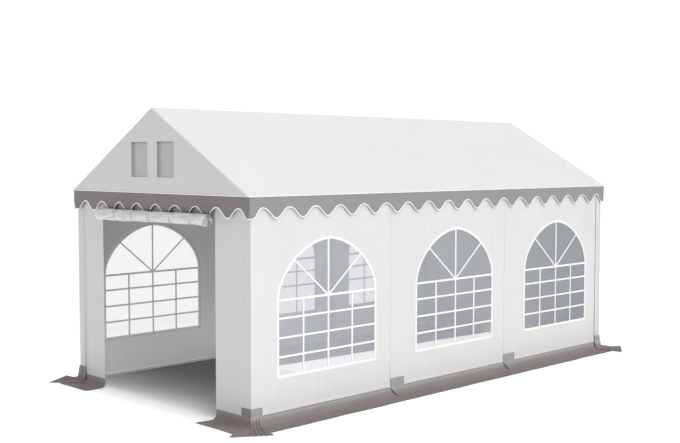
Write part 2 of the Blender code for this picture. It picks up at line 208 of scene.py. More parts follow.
class MarqueeColours(bpy.types.PropertyGroup):
    """Colours of the tent's finishes"""

    cover: colour_value("Roof cover", "White of the roof cover", (0.80, 0.80, 0.80))
    walls: colour_value("Walls", "White of the walls", (0.728, 0.730, 0.729))
    side_grey: colour_value("Side grey", "Grey of the side valances and skirts", (0.284, 0.284, 0.284))
    skirt_grey: colour_value("Skirt grey", "Grey of the side skirts below the walls", (0.44, 0.445, 0.44))
    # The end greys are darker and warmer than the side greys, as painted shade of the ends
    end_grey_painted_shade: colour_value("End grey", "Grey of the end valances", (0.214, 0.188, 0.192))
    foot_grey_painted_shade: colour_value("Foot grey", "Grey of the end skirts below the walls", (0.320, 0.272, 0.275))
    ground_grey: colour_value("Ground grey", "Grey of the side skirts on the ground", (0.236, 0.203, 0.201))
    end_ground_grey: colour_value("End ground grey", "Grey of the end skirts on the ground",
                                  (0.255, 0.206, 0.204))
    trim: colour_value("Trim", "White of the window bars and hems", (0.95, 0.95, 0.95))
    film: colour_value("Window film", "Tint of the clear window film", (0.60, 0.62, 0.675))
    net: colour_value("Vent net", "Grey of the net in the vents", (0.478, 0.483, 0.483))
    steel: colour_value("Steel", "Zinc coat of the frame", (0.66, 0.67, 0.68))


class MarqueeStage(bpy.types.PropertyGroup):
    """The camera and the studio light"""

    camera_place: FloatVectorProperty(name="Camera", description="Where the camera stands",
                                      subtype="TRANSLATION", default=(8.923, -9.194, 2.494))
    camera_turn: angle_value("Turn", "How far the camera looks left of the rear", 45.268)
    camera_dip: angle_value("Dip", "How far the camera looks down", 3.341)
    camera_roll: angle_value("Roll", "How far the camera leans", 0.042)
    lens: FloatProperty(name="Lens", description="Focal length on a 36 mm wide sensor", default=55.66,
                        min=10.0, max=200.0)
    sky: FloatProperty(name="Sky", description="Strength of the even light", default=0.475, min=0.0, max=3.0)
    sun: FloatProperty(name="Sun", description="Strength of the large soft light", default=1.94, min=0.0,
                       max=10.0)
    sun_from: FloatVectorProperty(name="Sun from", description="Where the large soft light comes from",
                                  subtype="DIRECTION", default=(0.64, 0.08, 0.77))
    sun_width: angle_value("Sun width", "How wide the soft light is", 60)
    ground_glow: glow_value("Ground glow", "Light that the floor gives off outside", 0.22)
    front_glow: glow_value("Front glow", "Light that the floor gives off before the doorway", 0.45)
    fill: FloatProperty(name="Fill", description="Power of the low light inside the tent", default=3.3,
                        min=0.0, max=100.0, unit="POWER")
    shade_glow: glow_value("Shade glow", "Light that the floor gives off in the tent's shade", 0.70)


# A soft step: 0 at start, 1 at end
def smooth(value, start, end):
    share = np.clip((value - start) / (end - start), 0.0, 1.0)
    return share * share * (3.0 - 2.0 * share)


# Repeatable waves over the cloth, of lengths from the shortest to the longest. Each leans up to lean.
def ripples(seed, count, shortest, longest, lean):
    chance = np.random.default_rng(seed)
    lengths = shortest * (longest / shortest) ** chance.random(count)
    leans = chance.uniform(-lean, lean, count)
    phases = chance.uniform(0, 2 * math.pi, count)
    weights = lengths ** 0.7
    weights = weights / np.sqrt((weights ** 2).sum())

    def height(across, up):
        total = np.zeros(np.broadcast(across, up).shape)
        for length, tilt, phase, weight in zip(lengths, leans, phases, weights):
            total = total + weight * np.sin(2 * math.pi * (across + tilt * up) / length + phase)
        return total

    return height


WALL_FOLDS = {side: ripples(seed, 14, 0.085, 0.60, 0.10)
              for side, seed in (("front", 5), ("right", 12), ("rear", 19), ("left", 26))}
WALL_CALM = {side: ripples(seed, 4, 0.7, 2.4, 0.8)
             for side, seed in (("front", 33), ("right", 40), ("rear", 47), ("left", 54))}


# Where every point of a wall's outer face stands, measured outwards from the flat wall. Panels, films,
# bars and hems all follow it.
def wall_out(side, x, z):
    sizes = bpy.context.scene.marquee_sizes
    half = SIDES[side][2]
    rise = np.clip((z - WALL_FOOT) / (WALL_TOP - WALL_FOOT), 0.0, 1.0)
    hang = np.sin(math.pi * rise)
    free = smooth(half - np.abs(x), 0.004, 0.060)
    if side in ("left", "right"):
        pitch = POST_PLACES[1] - POST_PLACES[0]
        bay = np.abs(np.sin(math.pi * (x - POST_PLACES[0]) / pitch)) ** 1.5
    else:
        bay = smooth(half - np.abs(x), 0.05, 1.2)
    loose = 0.35 + 0.65 * smooth(rise, 0.45, 0.05)
    folds = WALL_FOLDS[side](x, z) * (0.7 + 0.45 * WALL_CALM[side](x, z)) * loose
    folds = folds * smooth(rise, 1.0, 0.93) * (0.45 + 0.55 * smooth(rise, 0.0, 0.08))
    out = sizes.belly * hang * bay + sizes.folds * folds
    groove = np.zeros_like(out)
    if side in ("left", "right"):
        for seam in SEAMS:
            groove = np.maximum(groove, 1.0 - smooth(np.abs(x - seam), 0.0015, 0.0075))
    out = np.maximum(out, -0.0015) * free
    return out - 0.006 * groove * smooth(z, WALL_FOOT, WALL_FOOT + 0.01)


# How far a wall's face falls back where it turns the tent's corner
def corner_fall(side, x):
    half = SIDES[side][2]
    over = np.clip(np.abs(x) - (half - CORNER_RADIUS), 0.0, CORNER_RADIUS * 0.7072)
    return CORNER_RADIUS - np.sqrt(CORNER_RADIUS ** 2 - over ** 2)


# The form of a sheet that lies lift out from a wall's face, and is thicker over a hem of a given height
def wall_face(side, lift=0.0, hem=0.0):
    def form(x, z):
        out = wall_out(side, x, z) + lift
        if hem:
            out = out + 0.0014 * (1.0 - smooth(z, WALL_FOOT + hem, WALL_FOOT + hem + HEM_EDGE))
        return x, corner_fall(side, x) - out, z
    return form


# Points measured on a side, to the right, inwards and up, in the tent's own frame
def side_to_tent(side, points):
    turn, reach, _ = SIDES[side]
    x, y, z = points[:, 0], points[:, 1] - reach, points[:, 2]
    return np.column_stack((math.cos(turn) * x - math.sin(turn) * y,
                            math.sin(turn) * x + math.cos(turn) * y, z))


def in_scene(name, data):
    thing = bpy.data.objects.new(name, data)
    bpy.context.scene.collection.objects.link(thing)
    return thing


def make_piece(name, points, faces, flat=None):
    mesh = bpy.data.meshes.new(name)
    mesh.from_pydata(points.tolist(), [], faces if isinstance(faces, list) else faces.tolist())
    if flat is not None:
        corners = np.zeros(len(mesh.loops), dtype=np.int32)
        mesh.loops.foreach_get("vertex_index", corners)
        layer = mesh.uv_layers.new(name="UVMap")
        layer.data.foreach_set("uv", flat[corners].astype(np.float32).ravel())
    mesh.update()
    return in_scene(name, mesh)


def only(piece):
    if bpy.context.object and bpy.context.object.mode != "OBJECT":
        bpy.ops.object.mode_set(mode="OBJECT")
    bpy.ops.object.select_all(action="DESELECT")
    bpy.context.view_layer.objects.active = piece
    piece.select_set(True)


# Run one mesh operator on all of the active piece, or several of them in turn
def edited(*steps):
    bpy.ops.object.mode_set(mode="EDIT")
    bpy.ops.mesh.select_all(action="SELECT")
    for operator, settings in steps:
        operator(**settings)
    bpy.ops.object.mode_set(mode="OBJECT")


def apply_modifier(piece, kind, **settings):
    only(piece)
    modifier = piece.modifiers.new(kind.lower(), kind)
    for setting, value in settings.items():
        setattr(modifier, setting, value)
    bpy.ops.object.modifier_apply(modifier=modifier.name)


def smoothed(piece, degrees=40):
    only(piece)
    bpy.ops.object.shade_smooth_by_angle(angle=math.radians(degrees))


# Without a thickness, a piece gets that of the coated cloth
def thicken(piece, thickness=None, degrees=40):
    if thickness is None:
        thickness = bpy.context.scene.marquee_sizes.cloth
    apply_modifier(piece, "SOLIDIFY", thickness=thickness, offset=-1.0, use_even_offset=False)
    smoothed(piece, degrees)


# Give a piece its finish, and put it in the place of the nodes that it stands for
def fit(piece, finish, slot, *nodes):
    piece.data.materials.append(finish_of(finish))
    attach(piece, "root")
    if nodes:
        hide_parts(*nodes)


# Places along a line: every stop is kept, and the stretches between are shared out evenly
def spread(stops, step):
    places = [stops[0]]
    for start, end in zip(stops, stops[1:]):
        count = max(1, math.ceil(abs(end - start) / step - 1e-6))
        places += [start + (end - start) * n / count for n in range(1, count + 1)]
    return np.array(places)


# The same places on both sides of zero
def mirrored(places):
    return np.concatenate((-places[:0:-1], places))


# The length along a line at each of its points
def run_along(points):
    return np.concatenate(([0.0], np.cumsum(np.hypot(*np.diff(points, axis=0).T))))


# The faces of an even net of points. A closed one joins its last column to its first.
def net_faces(rows, columns, closed=False):
    corner = np.arange(rows * columns).reshape(rows, columns)
    if closed:
        corner = np.column_stack((corner, corner[:, :1]))
    quads = (corner[:-1, :-1], corner[:-1, 1:], corner[1:, 1:], corner[1:, :-1])
    return np.stack(quads, axis=-1).reshape(-1, 4)


# A sheet on an even net: across runs to the right as seen from outside, and up runs up the cloth
def woven(name, side, across, up, form, thickness=None, degrees=40):
    net_across, net_up = np.meshgrid(across, up)
    shape = net_across.shape
    points = np.column_stack([np.broadcast_to(part, shape).ravel() for part in form(net_across, net_up)])
    if side:
        points = side_to_tent(side, points)
    flat = np.column_stack((net_across.ravel(), net_up.ravel()))
    piece = make_piece(name, points, net_faces(*shape), flat)
    thicken(piece, thickness, degrees)
    return piece


# Closed outlines and open creases are joined into triangles, and those that keep() wants are kept
def fill(loops, creases, step, keep):
    points, edges = [], []
    for line, closed in [(loop, True) for loop in loops] + [(crease, False) for crease in creases]:
        first = len(points)
        points += [tuple(point) for point in line]
        edges += [(first + n, first + n + 1) for n in range(len(line) - 1)]
        if closed:
            edges.append((len(points) - 1, first))
    tree = KDTree(len(points))
    for index, (x, z) in enumerate(points):
        tree.insert((x, z, 0.0), index)
    tree.balance()
    if step:
        rows = []
        for low, high, gap in zip(np.min(points, axis=0), np.max(points, axis=0), step):
            count = max(1, round((high - low) / gap))
            rows.append(low + (high - low) * (np.arange(count) + 0.5) / count)
        lattice_x, lattice_z = (part.ravel() for part in np.meshgrid(*rows))
        wanted = keep(lattice_x, lattice_z)
        for x, z in zip(lattice_x[wanted], lattice_z[wanted]):
            if tree.find((x, z, 0.0))[2] > 0.45 * min(step):
                points.append((float(x), float(z)))
    found = delaunay_2d_cdt([Vector(point) for point in points], edges, [], 0, 1e-6)
    places = np.array([tuple(point) for point in found[0]])
    faces = np.array(found[2])
    middle = places[faces].mean(axis=1)
    faces = faces[keep(middle[:, 0], middle[:, 1])]
    first, second, third = (places[faces[:, n]] for n in (0, 1, 2))
    ahead, beside = second - first, third - first
    turned = ahead[:, 0] * beside[:, 1] - ahead[:, 1] * beside[:, 0] < 0
    faces[turned] = faces[turned][:, ::-1]
    used, faces = np.unique(faces, return_inverse=True)
    return places[used], faces.reshape(-1, 3)


# A sheet cut to the outlines that fill() has joined, moved by shift along its side
def cut_cloth(name, side, filled, form, thickness=None, degrees=40, shift=0.0):
    places, faces = filled
    x, z = places[:, 0] + shift, places[:, 1]
    points = side_to_tent(side, np.column_stack(np.broadcast_arrays(*form(x, z))))
    piece = make_piece(name, points, faces, np.column_stack((x, z)))
    thicken(piece, thickness, degrees)
    return piece


# An outline whose sides are shared out in steps
def outlined(corners, step):
    line = []
    for start, end in zip(corners, corners[1:] + corners[:1]):
        run = math.hypot(end[0] - start[0], end[1] - start[1])
        count = max(1, math.ceil(run / step - 1e-6))
        line += [(start[0] + (end[0] - start[0]) * n / count, start[1] + (end[1] - start[1]) * n / count)
                 for n in range(count)]
    return line


def outline_area(line):
    return abs(sum(a[0] * b[1] - b[0] * a[1] for a, b in zip(line, line[1:] + line[:1]))) / 2


def boxed(left, right, bottom, top):
    return [(left, bottom), (right, bottom), (right, top), (left, top)]


# A soft oval rope of cloth along a path: piping, hems and welts. wide and deep are unit directions
# across the path, and the two radii go with them.
def roped(name, path, wide, deep, radii, sides=8):
    path = np.asarray(path, float)
    wide = np.broadcast_to(np.asarray(wide, float), path.shape)
    deep = np.broadcast_to(np.asarray(deep, float), path.shape)
    rings = []
    for n in range(sides):
        angle = 2 * math.pi * n / sides
        rings.append(path + wide * radii[0] * math.cos(angle) + deep * radii[1] * math.sin(angle))
    points = np.stack(rings, axis=1).reshape(-1, 3)
    faces = net_faces(len(path), sides, closed=True).tolist()
    faces.append(list(range(sides))[::-1])
    faces.append([(len(path) - 1) * sides + n for n in range(sides)])
    piece = make_piece(name, points, faces)
    only(piece)
    edited((bpy.ops.mesh.normals_make_consistent, {"inside": False}))
    smoothed(piece, 50)
    return piece


# The same on one side of the tent, flat against its wall. The path and wide are measured on that side.
def roped_on(name, side, path, wide, radii):
    spin = np.array(Matrix.Rotation(SIDES[side][0], 3, "Z"))
    return roped(name, side_to_tent(side, path), np.asarray(wide) @ spin.T, spin @ np.array((0.0, -1.0, 0.0)),
                 radii)


# A zip up a wall, lift out from the wall's face
def zip_line(name, side, x, top=ZIP_TOP, lift=0.0006, finish="zip", radii=(0.0032, 0.0014)):
    line = spread([WALL_FOOT + 0.02, top], 0.06)
    at_x = np.full_like(line, x)
    path = np.column_stack((at_x, -wall_out(side, at_x, line) - lift, line))
    fit(roped_on(name, side, path, (1.0, 0.0, 0.0), radii), finish, "wall_fabric")


# Finishes
class Wire:
    """A socket of a finish. Python's operators on it add Math nodes."""

    def __init__(self, finish, socket):
        self.finish = finish
        self.socket = socket

    def maths(self, operation, *values):
        return self.finish.add("ShaderNodeMath", {"operation": operation}, dict(enumerate(values)))

    def __add__(self, other):
        return self.maths("ADD", self, other)

    __radd__ = __add__

    def __sub__(self, other):
        return self.maths("SUBTRACT", self, other)

    def __rsub__(self, other):
        return self.maths("SUBTRACT", other, self)

    def __mul__(self, other):
        return self.maths("MULTIPLY", self, other)

    __rmul__ = __mul__

    def __truediv__(self, other):
        return self.maths("DIVIDE", self, other)

    def __neg__(self):
        return self.maths("SUBTRACT", 0.0, self)

    def sine(self):
        return self.maths("SINE", self)

    def size(self):
        return self.maths("ABSOLUTE", self)

    def over(self, level):
        return self.maths("GREATER_THAN", self, level)

    def between(self, start, end):
        return self.finish.add("ShaderNodeMapRange", {"interpolation_type": "SMOOTHSTEP"},
                               {0: self, 1: start, 2: end, 3: 0.0, 4: 1.0})


class Finish:
    """A material: one Principled shader, and the nodes that vary it over the surface"""

    def __init__(self, name, constants):
        self.material = bpy.data.materials.new(name)
        self.material.use_nodes = True
        self.tree = self.material.node_tree
        self.shader = self.tree.nodes["Principled BSDF"]
        self.colours = bpy.context.scene.marquee_colours
        for socket, value in constants.items():
            self.paint(socket, value)

    def paint(self, socket, value):
        self.put(self.shader.inputs[socket], value)

    def put(self, socket, value):
        if isinstance(value, Wire):
            self.tree.links.new(value.socket, socket)
        else:
            socket.default_value = value

    def add(self, kind, settings, inputs, out=0):
        node = self.tree.nodes.new(kind)
        for setting, value in settings.items():
            setattr(node, setting, value)
        for socket, value in inputs.items():
            self.put(node.inputs[socket], value)
        return Wire(self, node.outputs[out])

    def place(self, output="UV"):
        return self.add("ShaderNodeTexCoord", {}, {}, output)

    def parts(self, vector):
        split = self.add("ShaderNodeSeparateXYZ", {}, {0: vector})
        outputs = split.socket.node.outputs
        return [Wire(self, outputs[n]) for n in (0, 1, 2)]

    def noise(self, vector, scale, detail=2.0, roughness=0.5):
        return self.add("ShaderNodeTexNoise", {}, {"Vector": vector, "Scale": scale, "Detail": detail,
                                                   "Roughness": roughness})

    # Noise with a scale of its own along each axis
    def streaks(self, vector, scales, detail=3.0, roughness=0.6):
        stretched = self.add("ShaderNodeMapping", {}, {"Vector": vector, "Scale": scales})
        return self.noise(stretched, 1.0, detail, roughness)

    def blend(self, share, first, second):
        inputs = {0: share}
        for socket, colour in ((6, first), (7, second)):
            inputs[socket] = colour if isinstance(colour, Wire) else (*colour[:3], 1.0)
        return self.add("ShaderNodeMix", {"data_type": "RGBA"}, inputs, 2)

    def darker(self, share, colour):
        return self.blend(share, colour, (0.0, 0.0, 0.0))

    # levels are pairs of a share and the grey that it gets
    def ramp(self, share, levels):
        wire = self.add("ShaderNodeValToRGB", {}, {0: share})
        elements = wire.socket.node.color_ramp.elements
        while len(elements) < len(levels):
            elements.new(1.0)
        for element, (position, level) in zip(elements, levels):
            element.position = position
            element.color = (*grey(level), 1.0)
        return wire

    def bump(self, height, depth, strength=1.0, under=None):
        inputs = {"Height": height, "Distance": depth, "Strength": strength}
        if under is not None:
            inputs["Normal"] = under
        return self.add("ShaderNodeBump", {}, inputs)


def grey(level):
    return (level,) * 3


def scaled(colour, amount):
    return tuple(min(1.0, part * amount) for part in colour[:3])


# Coated cloth: a fine plain weave under the coating, packing creases, and faint clouds of tone.
# creases are (across, up) stretches of the crease pattern, and their depth in metres.
def coated_cloth(finish, colour, roughness, creases, crease_depth, clouds):
    flat = finish.place()
    across, up, _ = finish.parts(flat)
    threads = (across * 2600.0).sine() * (up * 2600.0).sine()
    folded = finish.streaks(flat, (*creases, 1.0), 3.0, 0.55)
    cloud = finish.noise(flat, 1.7, 3.0, 0.6)
    wear = finish.streaks(flat, (9.0, 5.0, 1.0), 4.0)
    finish.paint("Roughness", roughness + (wear - 0.5) * 0.16)
    finish.paint("Normal", finish.bump(threads, 0.00005, 0.5, finish.bump(folded, crease_depth)))
    return finish.darker(cloud.between(0.3, 0.7) * clouds, colour), folded


def cloth(name):
    return Finish(name, {"Specular IOR Level": 0.42})


def roof_cloth():
    finish = cloth("roof_cover_cloth")
    tone, folded = coated_cloth(finish, finish.colours.cover, 0.46, (1.3, 5.0), 0.006, 0.02)
    # Painted shade along the creases
    finish.paint("Base Color", finish.darker(folded.between(0.60, 0.72) * 0.012, tone))
    return finish.material


# White wall cloth, with painted light and shade: upright streaks and crease lines of painted shade, a warmer
# tone near the ground painted as the light that the ground throws up, a painted highlight in the band where a
# side wall turns the front corner, painted shade lines at the front wall's corners, and the painted soft
# shadow beside the front zip. As painted shade the side walls darken at their rear end, the rear wall and the
# front are darker, and the left wall is a little darker at mid height; as painted light it is paler below.
def wall_cloth():
    finish = cloth("wall_cloth")
    tone, folded = coated_cloth(finish, finish.colours.walls, 0.48, (13.0, 0.7), 0.0009, 0.02)
    east, north, height = finish.parts(finish.place("Object"))
    # Painted shade: darker upright streaks of fine folds, and lines along the creases, except in the top band
    streaks = finish.streaks(finish.place(), (19.0, 0.5, 1.0))
    below = 1.0 - height.between(2.05, 2.10)
    painted_shade_marks = streaks.between(0.45, 0.75) * 0.035 + folded.between(0.56, 0.75) * 0.012
    tone = finish.darker(below * painted_shade_marks, tone)
    beside = east.size().over(HALF_WIDTH - 0.010)
    before = (-north).over(HALF_LENGTH - 0.010)
    # Painted light: a warmer tone near the ground, as light thrown up by the ground, not on the left wall and
    # less on the front
    low = (1.0 - height.between(0.10, 0.80)) * east.over(-1.0) * (1.0 - before * 0.8)
    ground_bounce_warmth = tuple(part * tint for part, tint in zip(finish.colours.walls, (1.005, 0.966, 0.940)))
    tone = finish.blend(low * 0.65, tone, ground_bounce_warmth)
    # Painted highlight: all but the band where a side wall turns the front corner is a little darker. Painted
    # shade: a line at the front wall's corners, and the soft shadow beside the front zip, deeper lower down
    turned = 1.0 - (north + HALF_LENGTH).between(0.034, 0.052)
    corner = before * east.size().between(HALF_WIDTH - 0.022, HALF_WIDTH - 0.012)
    past_zip = east - FRONT_ZIP
    shadow = before * past_zip.between(-0.02, 0.0) * past_zip.between(0.10, 0.0)
    tone = finish.darker(corner * 0.07 + shadow * (0.05 + height.between(1.8, 0.2) * 0.09)
                         + (1.0 - beside * turned) * 0.035, tone)
    # Painted shade: the rear wall, the side walls towards their rear end, and the left wall at mid height are
    # darker
    rear = north.over(HALF_LENGTH - 0.05)
    left = (-east).over(HALF_WIDTH - 0.05)
    tone = finish.darker(rear * 0.10 + beside * north.between(2.2, 2.9) * 0.028
                         + left * height.between(0.7, 1.9) * 0.03, tone)
    # Painted light: the left wall is paler near the ground
    tone = finish.blend(left * height.between(0.9, 0.3) * 0.28, tone, grey(1.0))
    # Painted shade: the front is darker, with a cool tint
    tone = finish.blend(before * 0.098, tone, (0.0, 0.12, 0.12))
    finish.paint("Base Color", tone)
    return finish.material


# The rolled door, with painted shade in its creases and puckers along and across its roll, deeper where two
# straps pinch it. Its right end is painted pale as a highlight, with dark notches of painted shade.
def roll_cloth():
    finish = cloth("rolled_door_cloth")
    tone, folded = coated_cloth(finish, finish.colours.walls, 0.48, (7.0, 26.0), 0.006, 0.05)
    where = finish.place("Object")
    puckers = finish.streaks(where, (22.0, 60.0, 60.0))
    creases = finish.streaks(where, (6.0, 90.0, 90.0))
    east = finish.parts(where)[0]
    # Painted shade in the puckers and creases, deeper where two straps pinch the roll
    pinched = (east - STRAPS[1]).size().between(0.050, 0.0) + (east - STRAPS[2]).size().between(0.060, 0.0)
    painted_shade_marks = puckers.between(0.50, 0.66) * (0.16 + pinched * 0.45) + creases.between(0.50, 0.64) * 0.20
    # Painted highlight: the right end is pale, with dark notches of painted shade
    lit_end = east.between(ROLL_HALF - 0.045, ROLL_HALF - 0.010)
    notches = finish.noise(where, 24.0, 1.0)
    tone = finish.blend(lit_end * 0.85, tone, grey(0.95))
    painted_shade_marks = painted_shade_marks * (1.0 - lit_end * 0.7) + lit_end * notches.between(0.57, 0.62) * 0.80
    tone = finish.blend(painted_shade_marks + folded.between(0.55, 0.70) * 0.08, tone, (0.02, 0.04, 0.04))
    finish.paint("Base Color", tone)
    return finish.material


# The cloth above the doorway: the walls' white, darkened as painted shade from the valance and in its creases
def header_cloth_painted_shade():
    finish = cloth("header_cloth_painted_shade")
    tone, folded = coated_cloth(finish, scaled(finish.colours.walls, 0.62), 0.5, (20.0, 1.5), 0.002, 0.05)
    finish.paint("Base Color", finish.darker(folded.between(0.50, 0.70) * 0.25, tone))
    return finish.material


# Grey cloth: where it hangs at the ends it is darker and warmer than on the sides, as painted shade; it is
# browner where it lies on the ground, and the side skirts darken towards their outer edge as painted shade.
# Its creases get painted shade. A hem-shadowed one has a painted shadow below the foot of the wall.
def grey_cloth(name, hem_shadowed):
    finish = cloth(name)
    colours = finish.colours
    where = finish.place("Object")
    east, north, height = finish.parts(where)
    # Painted shade: where it hangs, the cloth at the ends is darker and warmer than on the sides
    at_end = (north.size() - east.size()).over(HALF_LENGTH - HALF_WIDTH)
    above = height.over(1.0)
    end_hung = finish.blend(above, colours.foot_grey_painted_shade, colours.end_grey_painted_shade)
    side_hung = finish.blend(above, colours.skirt_grey, colours.side_grey)
    grey_with_end_shade = finish.blend(at_end, side_hung, end_hung)
    tone, folded = coated_cloth(finish, grey_with_end_shade, 0.5, (9.0, 4.0), 0.002, 0.06)
    # Painted shade along the creases
    hung = finish.darker(folded.between(0.60, 0.80) * 0.05, tone)
    blotches = finish.noise(where, 5.0, 3.0, 0.6)
    ground = finish.blend(at_end, colours.ground_grey, colours.end_ground_grey)
    # Painted shade: the side skirts darken towards their outer edge
    outer_edge_shade = (east.size() - HALF_WIDTH).between(0.03, 0.22)
    lying = finish.darker(blotches.between(0.35, 0.65) * 0.08 + (1.0 - at_end) * outer_edge_shade * 0.22, ground)
    hung = finish.darker(height.between(0.106, 0.114) * height.between(1.0, 0.9) * 0.20, hung)
    tone = finish.blend(1.0 - height.between(0.018, 0.095), hung, lying)
    # Painted shadow below the foot of the wall
    if hem_shadowed:
        seam = height.between(WALL_FOOT - 0.012, WALL_FOOT - 0.007) * (1.0 - at_end * 0.8)
        tone = finish.darker(seam * 0.45, tone)
    finish.paint("Base Color", tone)
    return finish.material


# Tape or welded strips with a fine grain and faint clouds
def grained(name, constants, grain, clouds, dark, pale):
    finish = Finish(name, constants)
    where = finish.place("Object")
    cloud = finish.noise(where, clouds, 3.0)
    finish.paint("Base Color", finish.blend(cloud.between(0.3, 0.7), dark, pale))
    finish.paint("Normal", finish.bump(finish.noise(where, grain), 0.0001, 0.5))
    return finish.material


def trim_tape():
    trim = bpy.context.scene.marquee_colours.trim
    constants = {"Roughness": 0.4, "Specular IOR Level": 0.45}
    return grained("white_tape", constants, 900.0, 6.0, scaled(trim, 0.97), trim)


# Welded window bars, through which a little light passes
def window_bar():
    trim = bpy.context.scene.marquee_colours.trim
    constants = {"Roughness": 0.38, "Specular IOR Level": 0.45, "Alpha": 0.93}
    return grained("window_bar", constants, 500.0, 8.0, scaled(trim, 0.96), trim)


# Clear film, more opaque on the right side as a painted sheen, and there a little clearer and darker towards
# the rear as painted shade
def window_film():
    finish = Finish("clear_window_film", {"Specular IOR Level": 0.6})
    flat = finish.place()
    east, north, _ = finish.parts(finish.place("Object"))
    # Painted sheen on the right side, and painted shade towards the rear there
    on_right = east.over(0.0)
    rear_painted_shade = on_right * north.between(-2.0, 2.4)
    finish.paint("Alpha", 0.12 + on_right * 0.22 - rear_painted_shade * 0.07)
    haze = finish.noise(flat, 2.6, 4.0, 0.6)
    wave = finish.streaks(flat, (3.52, 1.92, 1.6), 2.0, 0.4)
    tone = finish.blend(haze.between(0.3, 0.7), scaled(finish.colours.film, 0.94), finish.colours.film)
    finish.paint("Base Color", finish.blend(rear_painted_shade * 0.24, tone, (0.0, 0.05, 0.10)))
    finish.paint("Roughness", 0.07 + haze * 0.10)
    finish.paint("Normal", finish.bump(wave, 0.006))
    return finish.material


# Net in the vents, shaded beside each vent's left edge and under its top
def vent_net():
    finish = Finish("vent_net", {"Roughness": 0.8, "Specular IOR Level": 0.25})
    across, up, _ = finish.parts(finish.place())
    strands = (across * 1400.0).sine().size() * (up * 1400.0).sine().size()
    left_shade = 1.0 - (across + VENT_OUTER).between(-0.01, 0.11)
    right_shade = across.over(0.0) * (1.0 - (across - VENT_INNER).between(-0.01, 0.11))
    top_shade = up.between(VENT_TOP - 0.035, VENT_TOP)
    shade = (left_shade + right_shade) * 0.42 + top_shade * 0.30
    net = finish.colours.net
    tone = finish.blend(strands.between(0.25, 0.6), scaled(net, 1.06), scaled(net, 0.92))
    finish.paint("Base Color", finish.darker(shade, tone))
    finish.paint("Normal", finish.bump(1.0 - strands, 0.0004, 0.6))
    return finish.material


def galvanised_steel():
    finish = Finish("galvanised_tube", {"Metallic": 0.85, "Specular IOR Level": 0.5})
    where = finish.place("Object")
    spangle = finish.add("ShaderNodeTexVoronoi", {}, {"Vector": where, "Scale": 70.0}, "Color")
    grain = finish.parts(spangle)[0]
    dull = finish.noise(where, 14.0, 4.0, 0.6)
    steel = finish.colours.steel
    finish.paint("Base Color", finish.blend(grain, scaled(steel, 0.88), scaled(steel, 1.08)))
    finish.paint("Roughness", 0.34 + grain * 0.10 + dull * 0.14)
    finish.paint("Normal", finish.bump(dull, 0.0004, 0.4))
    return finish.material


# The metal of bolts and eyelets, with dull specks
def small_metal(name, specks, dark, pale, roughness):
    finish = Finish(name, {"Metallic": 1.0})
    dull = finish.noise(finish.place("Object"), specks, 3.0)
    finish.paint("Base Color", finish.blend(dull, dark, pale))
    finish.paint("Roughness", roughness + dull * 0.2)
    return finish.material


def strap_webbing():
    finish = Finish("roll_strap", {"Roughness": 0.7})
    across, up, _ = finish.parts(finish.place())
    ribs = (up * 2400.0).sine() * (across * 1200.0).sine()
    finish.paint("Base Color", finish.blend(ribs.between(-0.8, 0.8), (0.46, 0.47, 0.47), (0.62, 0.63, 0.63)))
    finish.paint("Normal", finish.bump(ribs, 0.0003, 0.7))
    return finish.material


# Zip teeth, darkest near the ground
def zip_coil(name, light):
    finish = Finish(name, {"Roughness": 0.4})
    height = finish.parts(finish.place("Object"))[2]
    teeth = (height * 1570.0).sine()
    tone = finish.blend(teeth.between(-0.5, 0.5), grey(light * 0.7), grey(light * 1.3))
    darker_below = finish.blend(height.between(0.15, 0.9), grey(light * 0.6), tone)
    finish.paint("Base Color", darker_below)
    finish.paint("Normal", finish.bump(teeth, 0.0008, 0.8))
    return finish.material


# The floor inside the tent, from the doorway to its dark middle: how white it is, which paints its shadow, and
# how much it glows as painted light, at each share of the way
FLOOR_WHITES = ((0.0, 0.93), (0.146, 0.93), (0.229, 0.735), (0.3125, 0.575), (0.396, 0.468), (0.479, 0.366),
                (0.5625, 0.305), (0.646, 0.264), (0.77, 0.245), (1.0, 0.25))
FLOOR_GLOWS = ((0.0625, 0.36), (0.104, 0.28), (0.130, 0.235), (0.155, 0.155), (0.187, 0.07), (0.229, 0.012),
               (0.27, 0.0), (1.0, 0.0))
FLOOR_WAY = 2.4


